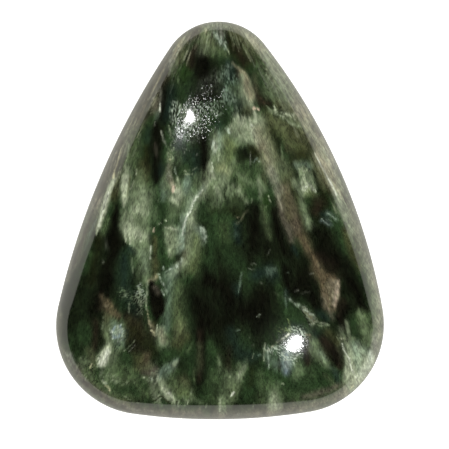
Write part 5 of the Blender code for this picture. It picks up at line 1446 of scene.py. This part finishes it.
FACE = (
    RIM_AND_REFLECTION_STROKES + TIP_STROKES + UPPER_LEFT_STROKES + CENTRE_STROKES + RIGHT_STROKES + PLUME_STROKES
    + LEFT_STROKES + BOTTOM_STROKES + LOWER_LEFT_STROKES + TAN_STROKES + LOWER_RIGHT_STROKES
)


class Nodes:
    """Short ways to add nodes to a material and link them."""

    def __init__(self, material):
        material.use_nodes = True
        self.tree = material.node_tree
        self.shader = self.tree.nodes["Principled BSDF"]

    def node(self, kind, inputs=(), **settings):
        """A new node with its settings. Its first inputs are linked or set in turn."""
        node = self.tree.nodes.new(kind)
        for name, value in settings.items():
            setattr(node, name, value)
        for socket, value in zip(node.inputs, inputs):
            if isinstance(value, bpy.types.NodeSocket):
                self.tree.links.new(value, socket)
            elif value is not None:
                socket.default_value = value
        return node

    def attribute(self, name):
        return self.node("ShaderNodeAttribute", attribute_name=name)

    def vector_math(self, operation, *inputs):
        return self.node("ShaderNodeVectorMath", inputs, operation=operation).outputs["Vector"]

    def math(self, operation, *inputs):
        return self.node("ShaderNodeMath", inputs, operation=operation).outputs["Value"]

    def link(self, output, name):
        self.tree.links.new(output, self.shader.inputs[name])


# Glints: small faces of fibres, tilted mostly across the fibres.
GLINTS_PER_MM = (14.0, 12.0, 12.0)
GLINT_TILT = (0.30, 0.08, 0.0)
LEAST_TILT = 0.25
# Streaks: how fine they are, the detail of their noise, and the shades that its low and high values give.
STREAKS_PER_MM = (11.0, 2.6, 2.6)
STREAK_DETAIL = 2.0
STREAK_NOISE = (0.25, 0.75)
STREAK_SHADES = (0.5, 1.5)
# The polish, the same all over.
POLISH = {
    "Roughness": 0.09,
    "IOR": 1.58,
    "Specular IOR Level": 0.5,
    "Coat Weight": 1.0,
    "Coat Roughness": 0.055,
    "Coat IOR": 1.58,
}


def stone_material():
    """The paint on the fibres, with small faces that glint, under one clear polish."""
    material = bpy.data.materials.new("seraphinite")
    nodes = Nodes(material)
    fibre = nodes.attribute("fibre").outputs["Vector"]
    paint = nodes.attribute("paint").outputs["Color"]

    # Fine fibres streak the paint.
    streak_place = nodes.vector_math("MULTIPLY", fibre, STREAKS_PER_MM)
    streaks = nodes.node("ShaderNodeTexNoise", (streak_place,))
    streaks.inputs["Scale"].default_value = 1.0
    streaks.inputs["Detail"].default_value = STREAK_DETAIL
    shading = nodes.node("ShaderNodeMapRange", (streaks.outputs["Fac"], *STREAK_NOISE, *STREAK_SHADES))
    shade = shading.outputs["Result"]
    nodes.link(nodes.vector_math("MULTIPLY", paint, shade), "Base Color")

    # Each cell of a fine grid of fibre faces has its own tilt.
    cells = nodes.node("ShaderNodeTexVoronoi", (nodes.vector_math("MULTIPLY", fibre, GLINTS_PER_MM),))
    cells.inputs["Scale"].default_value = 1.0
    parts = nodes.node("ShaderNodeSeparateXYZ", (cells.outputs["Color"],)).outputs
    tilt_x = nodes.math("SUBTRACT", parts["X"], 0.5)
    tilt_y = nodes.math("SUBTRACT", parts["Y"], 0.5)
    tilt = nodes.node("ShaderNodeCombineXYZ", (tilt_x, tilt_y)).outputs["Vector"]
    tilt = nodes.vector_math("MULTIPLY", tilt, [2.0 * most for most in GLINT_TILT])
    amount = nodes.node("ShaderNodeMapRange", (parts["Z"], 0.0, 1.0, LEAST_TILT, 1.0)).outputs["Result"]
    amount = nodes.math("MULTIPLY", amount, nodes.attribute("sparkle").outputs["Fac"])
    tilt = nodes.vector_math("MULTIPLY", tilt, amount)
    facing = nodes.node("ShaderNodeNewGeometry").outputs["Normal"]
    normal = nodes.vector_math("NORMALIZE", nodes.vector_math("ADD", facing, tilt))
    nodes.link(normal, "Normal")

    for name, value in POLISH.items():
        nodes.shader.inputs[name].default_value = value
    return material


def make_stone():
    stone = bpy.data.objects.new("seraphinite_stone", stone_mesh())
    stone.data.materials.append(stone_material())
    bpy.context.scene.collection.objects.link(stone)
    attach(stone, "root")
    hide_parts("polished_stone")
    return stone


# Floor, light and camera. The floor's size and its gap under the stone are in metres.
FLOOR_SIZE = 6.0
FLOOR_GAP = 0.00002
FLOOR_COLOUR = (0.425, 0.415, 0.39, 1.0)
FLOOR_ROUGHNESS = 0.9
WHITE = (1.0, 1.0, 1.0, 1.0)
BLACK = (0.0, 0.0, 0.0, 1.0)
SKY_STRENGTH = 1.40
SKY_COLOUR = (0.99, 1.0, 0.95, 1.0)
# Each lamp: heading from the stone, height angle and turn about its own axis, then length, width, distance
# in metres and radiant power.
LAMPS = {
    "upper_left_lamp": (126.35, 49.9, 136.4, 0.102, 0.028, 0.6, 0.28),
    "lower_right_lamp": (-51.7, 51.1, 20.0, 0.088, 0.030, 0.6, 0.5),
}


def make_floor():
    """A pale table. The camera sees it plain white, as the photo's ground is."""
    mesh = bpy.data.meshes.new("floor")
    half = FLOOR_SIZE / 2
    corners = [(-half, -half), (half, -half), (half, half), (-half, half)]
    mesh.from_pydata([(x, y, -FLOOR_GAP) for x, y in corners], [], [(0, 1, 2, 3)])
    material = bpy.data.materials.new("white_table")
    material.use_nodes = True
    shader = material.node_tree.nodes["Principled BSDF"]
    shader.inputs["Base Color"].default_value = FLOOR_COLOUR
    shader.inputs["Roughness"].default_value = FLOOR_ROUGHNESS
    shader.inputs["Specular IOR Level"].default_value = 0.0
    shader.inputs["Emission Color"].default_value = WHITE
    path = material.node_tree.nodes.new("ShaderNodeLightPath")
    material.node_tree.links.new(path.outputs["Is Camera Ray"], shader.inputs["Emission Strength"])
    mesh.materials.append(material)
    floor = bpy.data.objects.new("floor", mesh)
    bpy.context.scene.collection.objects.link(floor)


def make_sky():
    """Soft light from all round. The polish mirrors black instead, as it does in the photo."""
    world = bpy.data.worlds.new("soft_tent")
    bpy.context.scene.world = world
    world.use_nodes = True
    nodes, links = world.node_tree.nodes, world.node_tree.links
    light = nodes["Background"]
    light.inputs["Color"].default_value = SKY_COLOUR
    light.inputs["Strength"].default_value = SKY_STRENGTH
    dark = nodes.new("ShaderNodeBackground")
    dark.inputs["Color"].default_value = BLACK
    path = nodes.new("ShaderNodeLightPath")
    mix = nodes.new("ShaderNodeMixShader")
    links.new(path.outputs["Is Glossy Ray"], mix.inputs["Fac"])
    links.new(light.outputs["Background"], mix.inputs[1])
    links.new(dark.outputs["Background"], mix.inputs[2])
    links.new(mix.outputs["Shader"], nodes["World Output"].inputs["Surface"])


def make_lamps():
    """The lamps that the two bright spots on the face mirror."""
    for name, (turn, rise, roll, width, height, distance, power) in LAMPS.items():
        lamp = bpy.data.lights.new(name, "AREA")
        lamp.shape = "ELLIPSE"
        lamp.size, lamp.size_y = width, height
        lamp.energy = power
        holder = bpy.data.objects.new(name, lamp)
        turn, rise, roll = math.radians(turn), math.radians(rise), math.radians(roll)
        holder.location = (
            distance * math.cos(rise) * math.cos(turn),
            distance * math.cos(rise) * math.sin(turn),
            distance * math.sin(rise),
        )
        aim = Matrix.Rotation(turn + QUARTER, 3, "Z") @ Matrix.Rotation(QUARTER - rise, 3, "X")
        holder.rotation_euler = (aim @ Matrix.Rotation(roll, 3, "Z")).to_euler()
        bpy.context.scene.collection.objects.link(holder)


def make_camera():
    """A long lens straight above, with the photograph's frame at the height of the girdle."""
    lens = bpy.data.cameras.new("camera")
    lens.lens = LENS
    lens.sensor_width = SENSOR
    lens.clip_end = CLIP_END
    camera = bpy.data.objects.new("camera", lens)
    distance = FRAME_WIDTH * LENS / SENSOR
    place = (*FRAME_MIDDLE, GIRDLE_HEIGHT + distance)
    camera.location = [value * MM for value in place]
    bpy.context.scene.collection.objects.link(camera)
    bpy.context.scene.camera = camera


def make_scene():
    make_camera()
    make_floor()
    make_sky()
    make_lamps()
    make_stone()
    bpy.context.scene.view_settings.view_transform = "Standard"


make_scene()
